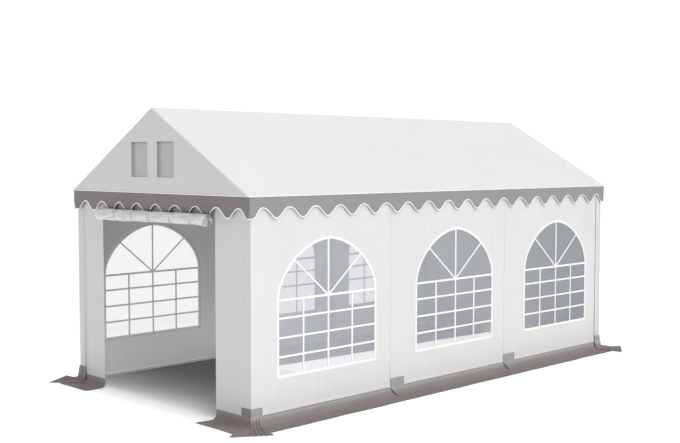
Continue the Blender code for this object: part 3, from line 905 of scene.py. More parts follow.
# The floor: white outside, with a glow of painted light in the tent's shade, and a painted shadow that falls
# slowly into the dark behind the doorway. Behind that lies a painted bright band, and another beside the near
# windows.
def studio_floor():
    stage = bpy.context.scene.marquee_stage
    finish = Finish("studio_floor", {"Roughness": 0.95, "Specular IOR Level": 0.1, "Emission Strength": 1.0})
    where = finish.place("Object")
    east, north, _ = finish.parts(where)
    inside = (1.0 - east.size().between(1.465, 1.60)) * (1.0 - north.between(2.90, 3.10))
    beside = (-east).between(1.35, 1.75) * (1.0 - (-east).between(2.4, 4.5))
    shaded = beside * (1.0 - north.size().between(3.4, 5.0))
    depth = (north + 3.35) / FLOOR_WAY
    # Painted shadow: inside, the floor darkens from the doorway into the tent, more so to the right, and its
    # glow is painted light
    white = finish.ramp(depth, FLOOR_WHITES)
    glow = finish.ramp(depth, ((0.0, stage.front_glow), *FLOOR_GLOWS))
    white = finish.darker((0.10 + (east + 0.55) * 0.14) * depth.between(0.25, 0.38), white)
    # Painted light deeper in: the floor is bright and glows, but for a darker strip. Right of a slant line
    # from the doorway's right jamb it glows a little, and strongly in a strip beside the near windows
    far = north.between(-1.0, -0.9)
    band = (east - (north * 0.062 - 0.53)).between(-0.02, 0.02) * (1.0 - east.between(0.2, 0.5))
    white = finish.blend(far, white, finish.blend(band, grey(0.45), grey(0.92)))
    glow = finish.blend(far, glow, finish.blend(band, grey(0.0), grey(0.84)))
    hidden = (east - (0.98 - (north + HALF_LENGTH) * 1.27)).between(0.12, 0.60) * (1.0 - far)
    by_window = finish.blend(band * north.between(-1.60, -1.10), grey(0.15), grey(0.95))
    glow = finish.blend(hidden, glow, by_window)
    # Painted light: outside, the floor glows more before the doorway and in the tent's shade
    before = (-north).between(2.9, 3.2)
    outside = finish.blend(before, grey(stage.ground_glow), grey(stage.front_glow))
    outside = finish.blend(shaded, outside, grey(stage.shade_glow))
    finish.paint("Base Color", finish.blend(inside, grey(0.93), white))
    finish.paint("Emission Color", finish.blend(inside, outside, glow))
    finish.paint("Normal", finish.bump(finish.noise(where, 60.0), 0.0004, 0.2))
    return finish.material


FINISH_MAKERS = {
    "roof": roof_cloth,
    "wall": wall_cloth,
    "roll": roll_cloth,
    "header": header_cloth_painted_shade,
    "grey": lambda: grey_cloth("grey_cloth", False),
    "skirt_grey": lambda: grey_cloth("grey_skirt_cloth", True),
    "tape": trim_tape,
    "bar": window_bar,
    "piping": lambda: grained("pale_piping", {"Roughness": 0.45}, 700.0, 9.0, grey(0.84), grey(0.93)),
    "film": window_film,
    "net": vent_net,
    "steel": galvanised_steel,
    "bolt": lambda: small_metal("zinc_bolt", 220.0, (0.42, 0.42, 0.43), (0.62, 0.62, 0.63), 0.25),
    "eyelet": lambda: small_metal("eyelet_brass", 300.0, (0.10, 0.09, 0.085), (0.22, 0.21, 0.20), 0.35),
    "strap": strap_webbing,
    "zip": lambda: zip_coil("zip_teeth", 0.45),
    # The rear zips are much darker: dark teeth, and painted shade of the gap beside them
    "rear_zip": lambda: zip_coil("rear_zip_teeth_and_shade", 0.16),
    "floor": studio_floor,
}
MADE_FINISHES = {}


def finish_of(name):
    if name not in MADE_FINISHES:
        MADE_FINISHES[name] = FINISH_MAKERS[name]()
    return MADE_FINISHES[name]


class MARQUEE_OT_stage(bpy.types.Operator):
    """Set up the camera, the soft light and the pale floor"""

    bl_idname = "marquee.stage"
    bl_label = "Stage"

    def execute(self, context):
        stage = context.scene.marquee_stage
        turn, dip, roll = stage.camera_turn, stage.camera_dip, stage.camera_roll
        ahead = Vector((-math.sin(turn) * math.cos(dip), math.cos(turn) * math.cos(dip), -math.sin(dip)))
        right = Vector((math.cos(turn), math.sin(turn), 0.0))
        up = right.cross(ahead)
        leaned_right = math.cos(roll) * right + math.sin(roll) * up
        leaned_up = -math.sin(roll) * right + math.cos(roll) * up
        camera = in_scene("camera", bpy.data.cameras.new("camera"))
        camera.matrix_world = Matrix.Translation(stage.camera_place) @ Matrix(
            (leaned_right, leaned_up, -ahead)).transposed().to_4x4()
        camera.data.lens = stage.lens
        camera.data.sensor_fit = "HORIZONTAL"
        camera.data.sensor_width = 36.0
        camera.data.clip_end = 300.0
        context.scene.camera = camera
        self.light(context, stage)
        self.floor()
        return {"FINISHED"}

    def light(self, context, stage):
        world = bpy.data.worlds.new("studio")
        context.scene.world = world
        world.use_nodes = True
        nodes, links = world.node_tree.nodes, world.node_tree.links
        nodes.clear()
        mix = nodes.new("ShaderNodeMixShader")
        links.new(nodes.new("ShaderNodeLightPath").outputs["Is Camera Ray"], mix.inputs[0])
        for slot, strength in ((1, stage.sky), (2, SKY_SEEN)):
            background = nodes.new("ShaderNodeBackground")
            background.inputs[0].default_value = (1.0, 1.0, 1.0, 1.0)
            background.inputs[1].default_value = strength
            links.new(background.outputs[0], mix.inputs[slot])
        links.new(mix.outputs[0], nodes.new("ShaderNodeOutputWorld").inputs[0])
        context.scene.view_settings.view_transform = "Standard"
        context.scene.view_settings.look = "None"
        lamp = bpy.data.lights.new("soft_light", "SUN")
        lamp.energy = stage.sun
        lamp.angle = stage.sun_width
        sun = in_scene("soft_light", lamp)
        sun.rotation_euler = Vector(stage.sun_from).to_track_quat("Z", "Y").to_euler()
        low_lamp = bpy.data.lights.new("fill_light", "AREA")
        low_lamp.energy = stage.fill
        low_lamp.shape = "RECTANGLE"
        low_lamp.size, low_lamp.size_y = FILL_SIZE
        low_lamp.spread = math.radians(70)
        fill = in_scene("fill_light", low_lamp)
        turned = Vector(FILL_BACK).to_track_quat("Z", "Y").to_matrix().to_4x4()
        fill.matrix_world = Matrix.Translation(FILL_PLACE) @ turned
        fill.visible_camera = False
        fill.visible_glossy = False

    def floor(self):
        bpy.ops.object.select_all(action="DESELECT")
        bpy.ops.mesh.primitive_circle_add(vertices=64, radius=FLOOR_RADIUS, fill_type="NGON")
        floor = bpy.context.object
        floor.name = "studio_floor"
        floor.data.name = "studio_floor"
        edited((bpy.ops.mesh.inset, {"thickness": FLOOR_RADIUS - FLOOR_RING}))
        floor.data.materials.append(finish_of("floor"))


class MARQUEE_OT_frame(bpy.types.Operator):
    """Make the galvanised tubes, fittings and bolts of the frame"""

    bl_idname = "marquee.frame"
    bl_label = "Steel frame"

    def execute(self, context):
        names = [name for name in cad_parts
                 if name.startswith(("post_", "eave_beam_", "roof_truss_", "ridge_beam", "tie_beam_"))]
        for name in sorted(names):
            self.tube(name)
        self.bolts()
        return {"FINISHED"}

    def tube(self, name):
        mesh = bpy.data.objects[name].data.copy()
        mesh.name = name + "_tube"
        mesh.materials.clear()
        piece = in_scene(name + "_tube", mesh)
        only(piece)
        edited((bpy.ops.mesh.remove_doubles, {"threshold": 0.00002}),
               (bpy.ops.mesh.dissolve_limited, {"angle_limit": math.radians(1.0)}))
        smoothed(piece, 34)
        fit(piece, "steel", "steel", name)

    # Hexagon bolt heads on the sockets of the posts, facing into the tent
    def bolts(self):
        bpy.ops.object.select_all(action="DESELECT")
        bpy.ops.mesh.primitive_cylinder_add(vertices=6, radius=0.0075, depth=0.006)
        head = bpy.context.object
        edited((bpy.ops.mesh.bevel, {"offset": 0.0009, "segments": 1}))
        points, faces = [], []
        for across, place, height in product((-1, 1), POST_PLACES, BOLT_HEIGHTS):
            centre = Vector((across * (HALF_WIDTH - BOLT_INSET), place, height))
            shape = Matrix.Translation(centre) @ Matrix.Rotation(math.pi / 2, 4, "Y")
            first = len(points)
            points += [tuple(shape @ vertex.co) for vertex in head.data.vertices]
            faces += [[first + index for index in face.vertices] for face in head.data.polygons]
        bolts = make_piece("frame_bolts", np.array(points), faces)
        bpy.data.objects.remove(head)
        smoothed(bolts, 30)
        fit(bolts, "bolt", "steel")


class MARQUEE_OT_roof(bpy.types.Operator):
    """Make the roof cover as one sheet over the ridge, with its lip turned down all round"""

    bl_idname = "marquee.roof"
    bl_label = "Roof cover"

    def execute(self, context):
        sizes = context.scene.marquee_sizes
        run = math.hypot(1.0, SLOPE)
        reach = EAVE_X * run
        lip = sizes.welt
        half = spread([0.0, 0.004, 0.010, 0.020, 0.040, reach - 0.01, reach - 0.001, reach + 0.001,
                       reach + lip], 0.035)
        across = mirrored(half)
        half = spread([0.0, END_Y - 0.01, END_Y - 0.001, END_Y + 0.001, END_Y + lip], 0.04)
        along = mirrored(half)
        slack = ripples(71, 10, 0.25, 1.6, 0.9)
        ridge_round = 0.008
        pitch = POST_PLACES[1] - POST_PLACES[0]

        def form(u, v):
            over_u = np.maximum(np.abs(u) - reach, 0.0)
            over_v = np.maximum(np.abs(v) - END_Y, 0.0)
            proud, proud_end = (0.0035 * smooth(over, 0.0, 0.0025) for over in (over_u, over_v))
            flat_x = np.minimum(np.abs(u), reach) / run
            x = np.sign(u) * (flat_x + proud)
            y = np.sign(v) * (np.minimum(np.abs(v), END_Y) + proud_end)
            z = RIDGE - SLOPE * np.sqrt(flat_x ** 2 + ridge_round ** 2)
            share = np.clip(np.abs(u) / reach, 0.0, 1.0)
            bay = np.abs(np.sin(math.pi * (np.clip(np.abs(v), 0, POST_PLACES[3]) - POST_PLACES[0]) / pitch))
            hang = np.sin(math.pi * share) * bay ** 1.3
            tight = smooth(END_Y - np.abs(v), 0.0, 0.12) * smooth(reach - np.abs(u), 0.0, 0.12)
            z = z - sizes.sag * hang
            z = z + 0.0012 * slack(u, v) * tight * smooth(share, 0.02, 0.10) * bay
            return x, y, z - np.maximum(over_u, over_v)

        cover = woven("roof_canopy", None, across, along, form, thickness=0.002, degrees=35)
        fit(cover, "roof", "roof_fabric", "roof_left", "roof_right")
        return {"FINISHED"}


class MARQUEE_OT_gables(bpy.types.Operator):
    """Make both gables with their vents, the tape round them and the net behind"""

    bl_idname = "marquee.gables"
    bl_label = "Gables and vents"

    def execute(self, context):
        bottom, top, reach = GABLE_LOW.z, GABLE_HIGH.z, GABLE_HIGH.x
        face = END_Y - HALF_LENGTH
        vent_wide, vent_high = VENT_OUTER - VENT_INNER, VENT_TOP - VENT_BOTTOM
        vent_x, vent_z = (VENT_INNER + VENT_OUTER) / 2, (VENT_BOTTOM + VENT_TOP) / 2
        rims = [outlined(boxed(left, right, VENT_BOTTOM, VENT_TOP), 0.03) for left, right in VENTS]

        def keep(x, z):
            under = z <= top - SLOPE * np.abs(x) + 1e-6
            vent = (np.abs(x) > VENT_INNER) & (np.abs(x) < VENT_OUTER) & (z > VENT_BOTTOM) & (z < VENT_TOP)
            return under & (z > bottom - 1e-6) & ~vent

        rim = outlined([(-reach, bottom), (reach, bottom), (0.0, top)], 0.04)
        filled = fill([rim] + rims, [], (0.035, 0.035), keep)
        for end, seed in (("front", 81), ("rear", 82)):
            slack = ripples(seed, 8, 0.2, 1.2, 0.8)

            def form(x, z):
                edge = np.minimum(z - bottom, (top - SLOPE * np.abs(x) - z) * 0.87)
                vent = np.maximum(np.abs(np.abs(x) - vent_x) - vent_wide / 2,
                                  np.abs(z - vent_z) - vent_high / 2)
                loose = smooth(edge, 0.0, 0.25) * smooth(vent, 0.0, 0.12)
                return x, -face - 0.0035 * loose - 0.0010 * slack(x, z) * loose, z

            gable = cut_cloth(f"gable_cover_{end}", end, filled, form)
            fit(gable, "wall", "roof_fabric", f"gable_{end}")
            taped = [self.vent(end, number, *vent, face) for number, vent in enumerate(VENTS, 1)]
            net = woven(f"vent_net_{end}", end, spread([-VENT_OUTER - NET_LAP, VENT_OUTER + NET_LAP], 0.05),
                        spread([VENT_BOTTOM - NET_LAP, VENT_TOP + NET_LAP], 0.05),
                        lambda x, z: (x, 0.007 - face, z), thickness=0.0006)
            fit(net, "net", "vent_mesh", f"vent_screen_{end}")
        return {"FINISHED"}

    # Tape sewn round one vent, turned in through the gable as far as the net
    def vent(self, end, number, left, right, face):
        profile = [(0.013, 0.0002), (0.0125, -0.0010), (0.001, -0.0013), (-0.0008, -0.0006),
                   (-0.0010, 0.002), (-0.0008, 0.0064)]
        rings = []
        for out, depth in profile:
            corners = boxed(left - out, right + out, VENT_BOTTOM - out, VENT_TOP + out)
            rings += [(x, depth - face, z) for x, z in corners]
        faces = net_faces(len(profile), 4, closed=True)
        points = side_to_tent(end, np.array(rings))
        flat = np.array([(x + depth, z) for (x, depth, z) in rings])
        piece = make_piece(f"vent_tape_{end}_{number}", points, faces, flat)
        thicken(piece, thickness=0.0006, degrees=30)
        fit(piece, "wall", "roof_fabric")
        return piece


class MARQUEE_OT_valances(bpy.types.Operator):
    """Make the scalloped valances, their piping and the welt above them"""

    bl_idname = "marquee.valances"
    bl_label = "Valances"

    def execute(self, context):
        sizes = context.scene.marquee_sizes
        for side, seed in (("front", 91), ("right", 92), ("rear", 93), ("left", 94)):
            self.valance(sizes, side, seed)
        return {"FINISHED"}

    # The side valances end in a whole tip at both corners. The end ones are cut from a longer strip: their
    # edge is straight up to the first tip. The front one's tips are tucked behind the rolled door.
    def valance(self, sizes, side, seed):
        along = side in ("left", "right")
        half = END_Y - SIDE_TRIM if along else EAVE_X
        face = (EAVE_X - HALF_WIDTH) if along else (END_Y - HALF_LENGTH)
        count = sizes.scallops if along else sizes.scallops // 2
        across = np.linspace(-half, half, count * 24 + 1)
        shares = np.array([0.0, 0.035, 0.07, 0.15, 0.27, 0.4, 0.53, 0.66, 0.78, 0.89, 0.96, 1.0])
        flutter = ripples(seed, 9, 0.16, 0.9, 0.3)

        def hem_line(x):
            if along:
                notch = half / count
                inwards = half - np.abs(x)
                pressed = np.maximum(inwards - END_TIP_FLAT, 0.0) * notch / (notch - END_TIP_FLAT)
                phase = math.pi * np.where(inwards < notch, pressed, inwards) / notch
            else:
                phase = np.maximum(2 * math.pi * (x + END_FIRST_TIP) / END_PITCH, 0.0)
                last = math.pi * (2 * count - 1)
                phase = np.minimum(phase + 0.18 * np.maximum(phase - last, 0.0), last + math.pi)
            wave = np.cos(phase) + 0.07 * np.cos(2 * phase) - 0.02 * np.cos(3 * phase)
            edge = TIP + sizes.scallop * (0.5 - 0.5 * (wave - 0.07) / 0.98)
            if not along:
                edge = edge - 0.006
                rounded_over, rounded_up = 0.042, 0.075
                turned = np.clip(1.0 - (x + half) / rounded_over, 0.0, 1.0)
                edge = np.maximum(edge, TIP + rounded_up * (1.0 - np.sqrt(1.0 - turned ** 2)))
            return edge

        def out(x, z):
            low = np.clip((VALANCE_TOP - z) / (VALANCE_TOP - TIP), 0.0, 1.0)
            held = smooth(half - np.abs(x), 0.0, 0.08)
            proud = np.maximum(low ** 1.6 * (0.0025 + 0.0035 * flutter(x, z)) * held, -0.003)
            if side == "front":
                tucked = smooth(z, 1.996, 1.950) * smooth(1.09 - np.abs(x), 0.0, 0.06)
                proud = proud - 0.026 * tucked
            return proud

        def form(x, share):
            z = hem_line(x) + (VALANCE_TOP - hem_line(x)) * share
            return x, -face - out(x, z), z

        piece = woven(f"valance_cover_{side}", side, across, shares, form, thickness=0.0012)
        layer = piece.data.uv_layers[0].data
        values = np.zeros(len(layer) * 2, dtype=np.float32)
        layer.foreach_get("uv", values)
        values[1::2] *= VALANCE_TOP - TIP
        layer.foreach_set("uv", values)
        fit(piece, "grey", "grey_fabric", f"valance_{side}")

        z = hem_line(across) + 0.0022
        y = -face - out(across, z) + 0.0006
        path = np.column_stack((across, y, z))
        slope = np.gradient(hem_line(across), across)
        size = np.sqrt(1 + slope ** 2)
        wide = np.column_stack((-slope / size, np.zeros_like(slope), 1 / size))
        piping = roped_on(f"valance_piping_{side}", side, path, wide, (sizes.piping / 2, 0.0022))
        fit(piping, "piping", "grey_fabric")
        if not along:
            line = spread([-EAVE_X - 0.003, EAVE_X + 0.003], 0.05)
            path = np.column_stack(np.broadcast_arrays(line, -face - 0.0022, EAVE - sizes.welt / 2 + 0.002))
            welt = roped_on(f"valance_welt_{side}", side, path, (0.0, 0.0, 1.0), (sizes.welt / 2, 0.0022))
            fit(welt, "roof", "roof_fabric")
        flat_area = float(np.trapz(VALANCE_TOP - hem_line(across), across))


# The window's arch, or the same arch made smaller by an inset at its sides and another at its top and sill
def arch_line(inset=0.0, end_inset=0.0, steps=44):
    half, rise = WINDOW_HALF - inset, ARCH_RISE - end_inset
    line = outlined([(-half, ARCH_SPRING), (-half, SILL + end_inset), (half, SILL + end_inset),
                     (half, ARCH_SPRING)], 0.035)
    last = line.index((half, ARCH_SPRING))
    line = line[:last]
    for step in range(steps + 1):
        angle = math.pi * step / steps
        x = half * math.copysign(abs(math.cos(angle)) ** (2 / ARCH_POWER), math.cos(angle))
        line.append((x, ARCH_SPRING + rise * abs(math.sin(angle)) ** (2 / ARCH_POWER)))
    return line[1:]


def in_arch(x, z, inset=0.0, end_inset=0.0):
    half, rise = WINDOW_HALF - inset, ARCH_RISE - end_inset
    body = (np.abs(x) < half) & (z > SILL + end_inset) & (z <= ARCH_SPRING)
    head = (z > ARCH_SPRING) & ((np.abs(x) / half) ** ARCH_POWER
                                + (np.maximum(z - ARCH_SPRING, 0.0) / rise) ** ARCH_POWER < 1.0)
    return body | head


def bay_number(side, bay):
    return bay + 1 if side == "right" else 3 - bay


class MARQUEE_OT_side_walls(bpy.types.Operator):
    """Make the panels of both side walls, with their hems and seams"""

    bl_idname = "marquee.side_walls"
    bl_label = "Side walls"

    def execute(self, context):
        sizes = context.scene.marquee_sizes
        end = HALF_LENGTH - CORNER_TRIM
        edges = [-end, SEAMS[0], SEAMS[1], end]
        for side in ("left", "right"):
            for bay in range(3):
                self.panel(sizes, side, bay, edges)
            self.seam_tapes(side)
        return {"FINISHED"}

    def panel(self, sizes, side, bay, edges):
        centre = WINDOW_PLACES[bay]
        left = edges[bay] + (PANEL_GAP if bay > 0 else 0.0)
        right = edges[bay + 1] - (PANEL_GAP if bay < 2 else 0.0)
        rim = outlined(boxed(left, right, WALL_FOOT, WALL_TOP), 0.028)
        arch = [(x + centre, z) for x, z in arch_line()]
        hem_top = WALL_FOOT + sizes.hem
        level = spread([left, right], 0.028)
        creases = [[(x, height) for x in level] for height in (hem_top, hem_top + HEM_EDGE)]
        beside_seam, beside_corner = (0.003, 0.0075, 0.014), (0.002, 0.005)
        uprights = [left + step for step in beside_seam if bay > 0]
        uprights += [right - step for step in beside_seam if bay < 2]
        uprights += [left + step for step in beside_corner if bay == 0]
        uprights += [right - step for step in beside_corner if bay == 2]
        up = spread([WALL_FOOT, WALL_TOP], 0.06)
        creases += [[(x, z) for z in up] for x in uprights]

        def keep(x, z):
            inside = (x > left) & (x < right) & (z > WALL_FOOT) & (z < WALL_TOP)
            return inside & ~in_arch(x - centre, z)

        filled = fill([rim, arch], creases, (0.020, 0.032), keep)
        number = bay_number(side, bay)
        panel = cut_cloth(f"{side}_wall_cover_{number}", side, filled, wall_face(side, hem=sizes.hem))
        fit(panel, "wall", "wall_fabric", f"{side}_wall_panel_{number}")
        width, height = right - left, WALL_TOP - WALL_FOOT
        width * height - outline_area(arch)

    # The zip at the far post, whose dark line is partly its teeth and partly painted shade of the gap beside
    # it, and the white hem at the foot
    def seam_tapes(self, side):
        zip_line(f"{side}_wall_zip", side, REAR_ZIP if side == "right" else -REAR_ZIP, finish="rear_zip",
                 radii=(0.0070, 0.0018))
        end = HALF_LENGTH - CORNER_TRIM
        wall_hem(f"{side}_wall_hem", side, -end, end)
        wall_lining(f"{side}_wall_lining", side, -end + LINING_TRIM, end - LINING_TRIM)


# A white tape along the foot of a wall
def wall_hem(name, side, left, right):
    sizes = bpy.context.scene.marquee_sizes
    stops = [left] + [seam for seam in SEAMS if side in ("left", "right") and left < seam < right] + [right]
    across = spread(stops, 0.025)
    heights = np.array([-0.0006, 0.0, sizes.hem * 0.5, sizes.hem, sizes.hem + 0.0004])

    def form(x, rise):
        z = WALL_FOOT + np.clip(rise, 0.0006, sizes.hem - 0.0002)
        _, y, _ = wall_face(side, 0.0018)(x, z)
        y = np.where((rise < 0) | (rise > sizes.hem), y + 0.0012, y)
        return x, y, z

    tape = woven(name, side, across, heights, form, thickness=0.0004, degrees=30)
    fit(tape, "wall", "wall_fabric")


# A strip of white cloth inside a wall, which hangs from above its foot down to the ground
def wall_lining(name, side, left, right):
    across = spread([left, right], 0.05)
    up = np.array([LINING_FOOT, LINING_FOOT + 0.006, LINING_FOOT + 0.008, 0.045, 0.06, 0.085, 0.100, 0.112,
                   0.121, LINING_TOP])

    def form(x, z):
        against_wall = -wall_out(side, x, np.maximum(z, WALL_FOOT)) + 0.0024
        free = smooth(z, LINING_TOP, WALL_FOOT)
        hem = 0.0010 * smooth(z, LINING_FOOT + 0.008, LINING_FOOT + 0.006)
        return x, np.maximum(against_wall, LINING_DEPTH) * free + against_wall * (1.0 - free) + hem, z

    def hem_form(x, z):
        x, y, z = form(x, z)
        return x, y + 0.0016, z

    piece = woven(name, side, across, up, form, thickness=0.0012)
    fit(piece, "wall", "wall_fabric")
    hem_up = LINING_FOOT + np.array([0.0, 0.008, 0.017])
    hem_tape = woven(f"{name}_hem", side, across, hem_up, hem_form, thickness=0.0008)
    fit(hem_tape, "tape", "wall_fabric")


class MARQUEE_OT_windows(bpy.types.Operator):
    """Make the clear films of the windows, and the bars and borders on them"""

    bl_idname = "marquee.windows"
    bl_label = "Windows"

    def execute(self, context):
        sizes = context.scene.marquee_sizes
        film_line = arch_line(-FILM_LAP, -FILM_LAP)
        film = fill([film_line], [], (0.06, 0.06), lambda x, z: in_arch(x, z, -FILM_LAP, -FILM_LAP))
        flat_area = outline_area(film_line)
        for side in ("left", "right"):
            bars = self.bar_shape(sizes, -BAR_SHIFT if side == "right" else BAR_SHIFT)
            for bay in range(3):
                number = bay_number(side, bay)
                centre = WINDOW_PLACES[bay]
                pane = cut_cloth(f"{side}_window_film_{number}", side, film, wall_face(side, -0.0026),
                                 thickness=0.0004, shift=centre)
                fit(pane, "film", "clear_film", f"{side}_window_pane_{number}")
                lattice = cut_cloth(f"{side}_window_bars_{number}", side, bars, wall_face(side, 0.0022),
                                    thickness=0.0044, degrees=30, shift=centre)
                fit(lattice, "bar", "wall_fabric")
        return {"FINISHED"}

    # Border, three uprights, four crossbars and the two slanting spokes of the fan, cut as one piece that
    # stands a little beside the window's middle. The border laps over the wall at one side of the window.
    def bar_shape(self, sizes, shift):
        bar, border, lap = sizes.bar, sizes.border - BORDER_LAP, BORDER_LAP
        aside = math.copysign(lap, shift)
        border_line = [(x + aside, z) for x, z in arch_line(-lap, -0.004)]
        opening_line = [(x + aside, z) for x, z in arch_line(border, sizes.border)]
        spring = ARCH_SPRING - 0.008
        uprights = [(shift, SILL, ARCH_TOP), (shift - UPRIGHT_GAP, SILL, spring),
                    (shift + UPRIGHT_GAP, SILL, spring)]
        crossbars = [(height, bar) for height in CROSSBARS] + [(spring, bar + 0.003)]
        spoke = bar - 0.003
        angles = [math.atan2(FAN_AHEAD[1], way * FAN_AHEAD[0]) for way in (-1, 1)]
        loops = [border_line, opening_line]
        for x, bottom, top in uprights:
            loops.append(outlined(boxed(x - bar / 2, x + bar / 2, bottom, top), 0.05))
        for z, height in crossbars:
            loops.append(outlined(boxed(-WINDOW_HALF, WINDOW_HALF, z - height / 2, z + height / 2), 0.05))
        for angle in angles:
            ahead = np.array((math.cos(angle), math.sin(angle)))
            beside = np.array((-ahead[1], ahead[0])) * spoke / 2
            start = np.array((shift, spring))
            end = start + ahead * FAN_LENGTH
            corners = [tuple(point) for point in (start - beside, end - beside, end + beside, start + beside)]
            loops.append(outlined(corners, 0.05))

        def keep(x, z):
            made = ~in_arch(x - aside, z, border, sizes.border)
            for place, bottom, top in uprights:
                made |= (np.abs(x - place) < bar / 2) & (z > bottom) & (z < top)
            for place, height in crossbars:
                made |= np.abs(z - place) < height / 2
            for angle in angles:
                ahead = (x - shift) * math.cos(angle) + (z - spring) * math.sin(angle)
                beside = -(x - shift) * math.sin(angle) + (z - spring) * math.cos(angle)
                made |= (ahead > 0) & (np.abs(beside) < spoke / 2)
            return made & in_arch(x - aside, z, -lap, -0.004)

        return fill(loops, [], None, keep)


class MARQUEE_OT_end_walls(bpy.types.Operator):
    """Make the front wall round its doorway, and the closed rear wall with its zips"""

    bl_idname = "marquee.end_walls"
    bl_label = "End walls"

    def execute(self, context):
        end = HALF_WIDTH - CORNER_TRIM
        jamb = DOOR_HALF + 0.0003
        left_end, right_end = [-end, -end + 0.002, -end + 0.005], [end - 0.005, end - 0.002, end]
        left_jamb, right_jamb = [-jamb - 0.022, -jamb - 0.020, -jamb], [jamb, jamb + 0.020, jamb + 0.022]
        strips = (
            ("front_cover_left", "front", left_end + left_jamb, WALL_FOOT, "front_wall_left"),
            ("front_cover_right", "front", right_jamb + right_end, WALL_FOOT, "front_wall_right"),
            ("header_cover", "front", [-DOOR_HALF, DOOR_HALF], DOOR_HEAD, "front_header"),
            ("rear_cover", "rear", left_end + right_end, WALL_FOOT, "rear_wall"),
        )
        sizes = context.scene.marquee_sizes
        for name, side, stops, foot, node in strips:
            across = spread(stops, 0.02)
            up = spread([foot, foot + sizes.hem, foot + sizes.hem + HEM_EDGE, WALL_TOP], 0.035)
            face = wall_face(side, 0.0, sizes.hem if foot == WALL_FOOT else 0.0)

            def form(x, z):
                x, y, z = face(x, z)
                if name in ("front_cover_left", "front_cover_right"):
                    edge = np.abs(x) - jamb
                    y = y - 0.0012 * (1.0 - smooth(edge, 0.0200, 0.0220))
                return x, y, z

            piece = woven(name, side, across, up, form)
            fit(piece, "header" if name == "header_cover" else "wall", "wall_fabric", node)
            stops[-1] - stops[0]
            WALL_TOP - foot
        for hem, lining, side, left, right, wall in (
                ("front_hem_left", "front_lining_left", "front", -end, -jamb, "front_cover_left"),
                ("front_hem_right", "front_lining_right", "front", jamb, end, "front_cover_right"),
                ("rear_hem", "rear_lining", "rear", -end, end, "rear_cover")):
            wall_hem(hem, side, left, right)
            wall_lining(lining, side, max(left, -end + LINING_TRIM), min(right, end - LINING_TRIM))
        for side in ("front", "rear"):
            zip_line(f"{side}_wall_zip", side, FRONT_ZIP)
        for label, sign in (("left", -1), ("right", 1)):
            zip_line(f"rear_door_zip_{label}", "rear", sign * DOOR_HALF, DOOR_HEAD + 0.06)
            zip_line(f"jamb_zip_{label}", "front", sign * (DOOR_HALF + 0.004), DOOR_HEAD + 0.06, -0.0016)
        return {"FINISHED"}


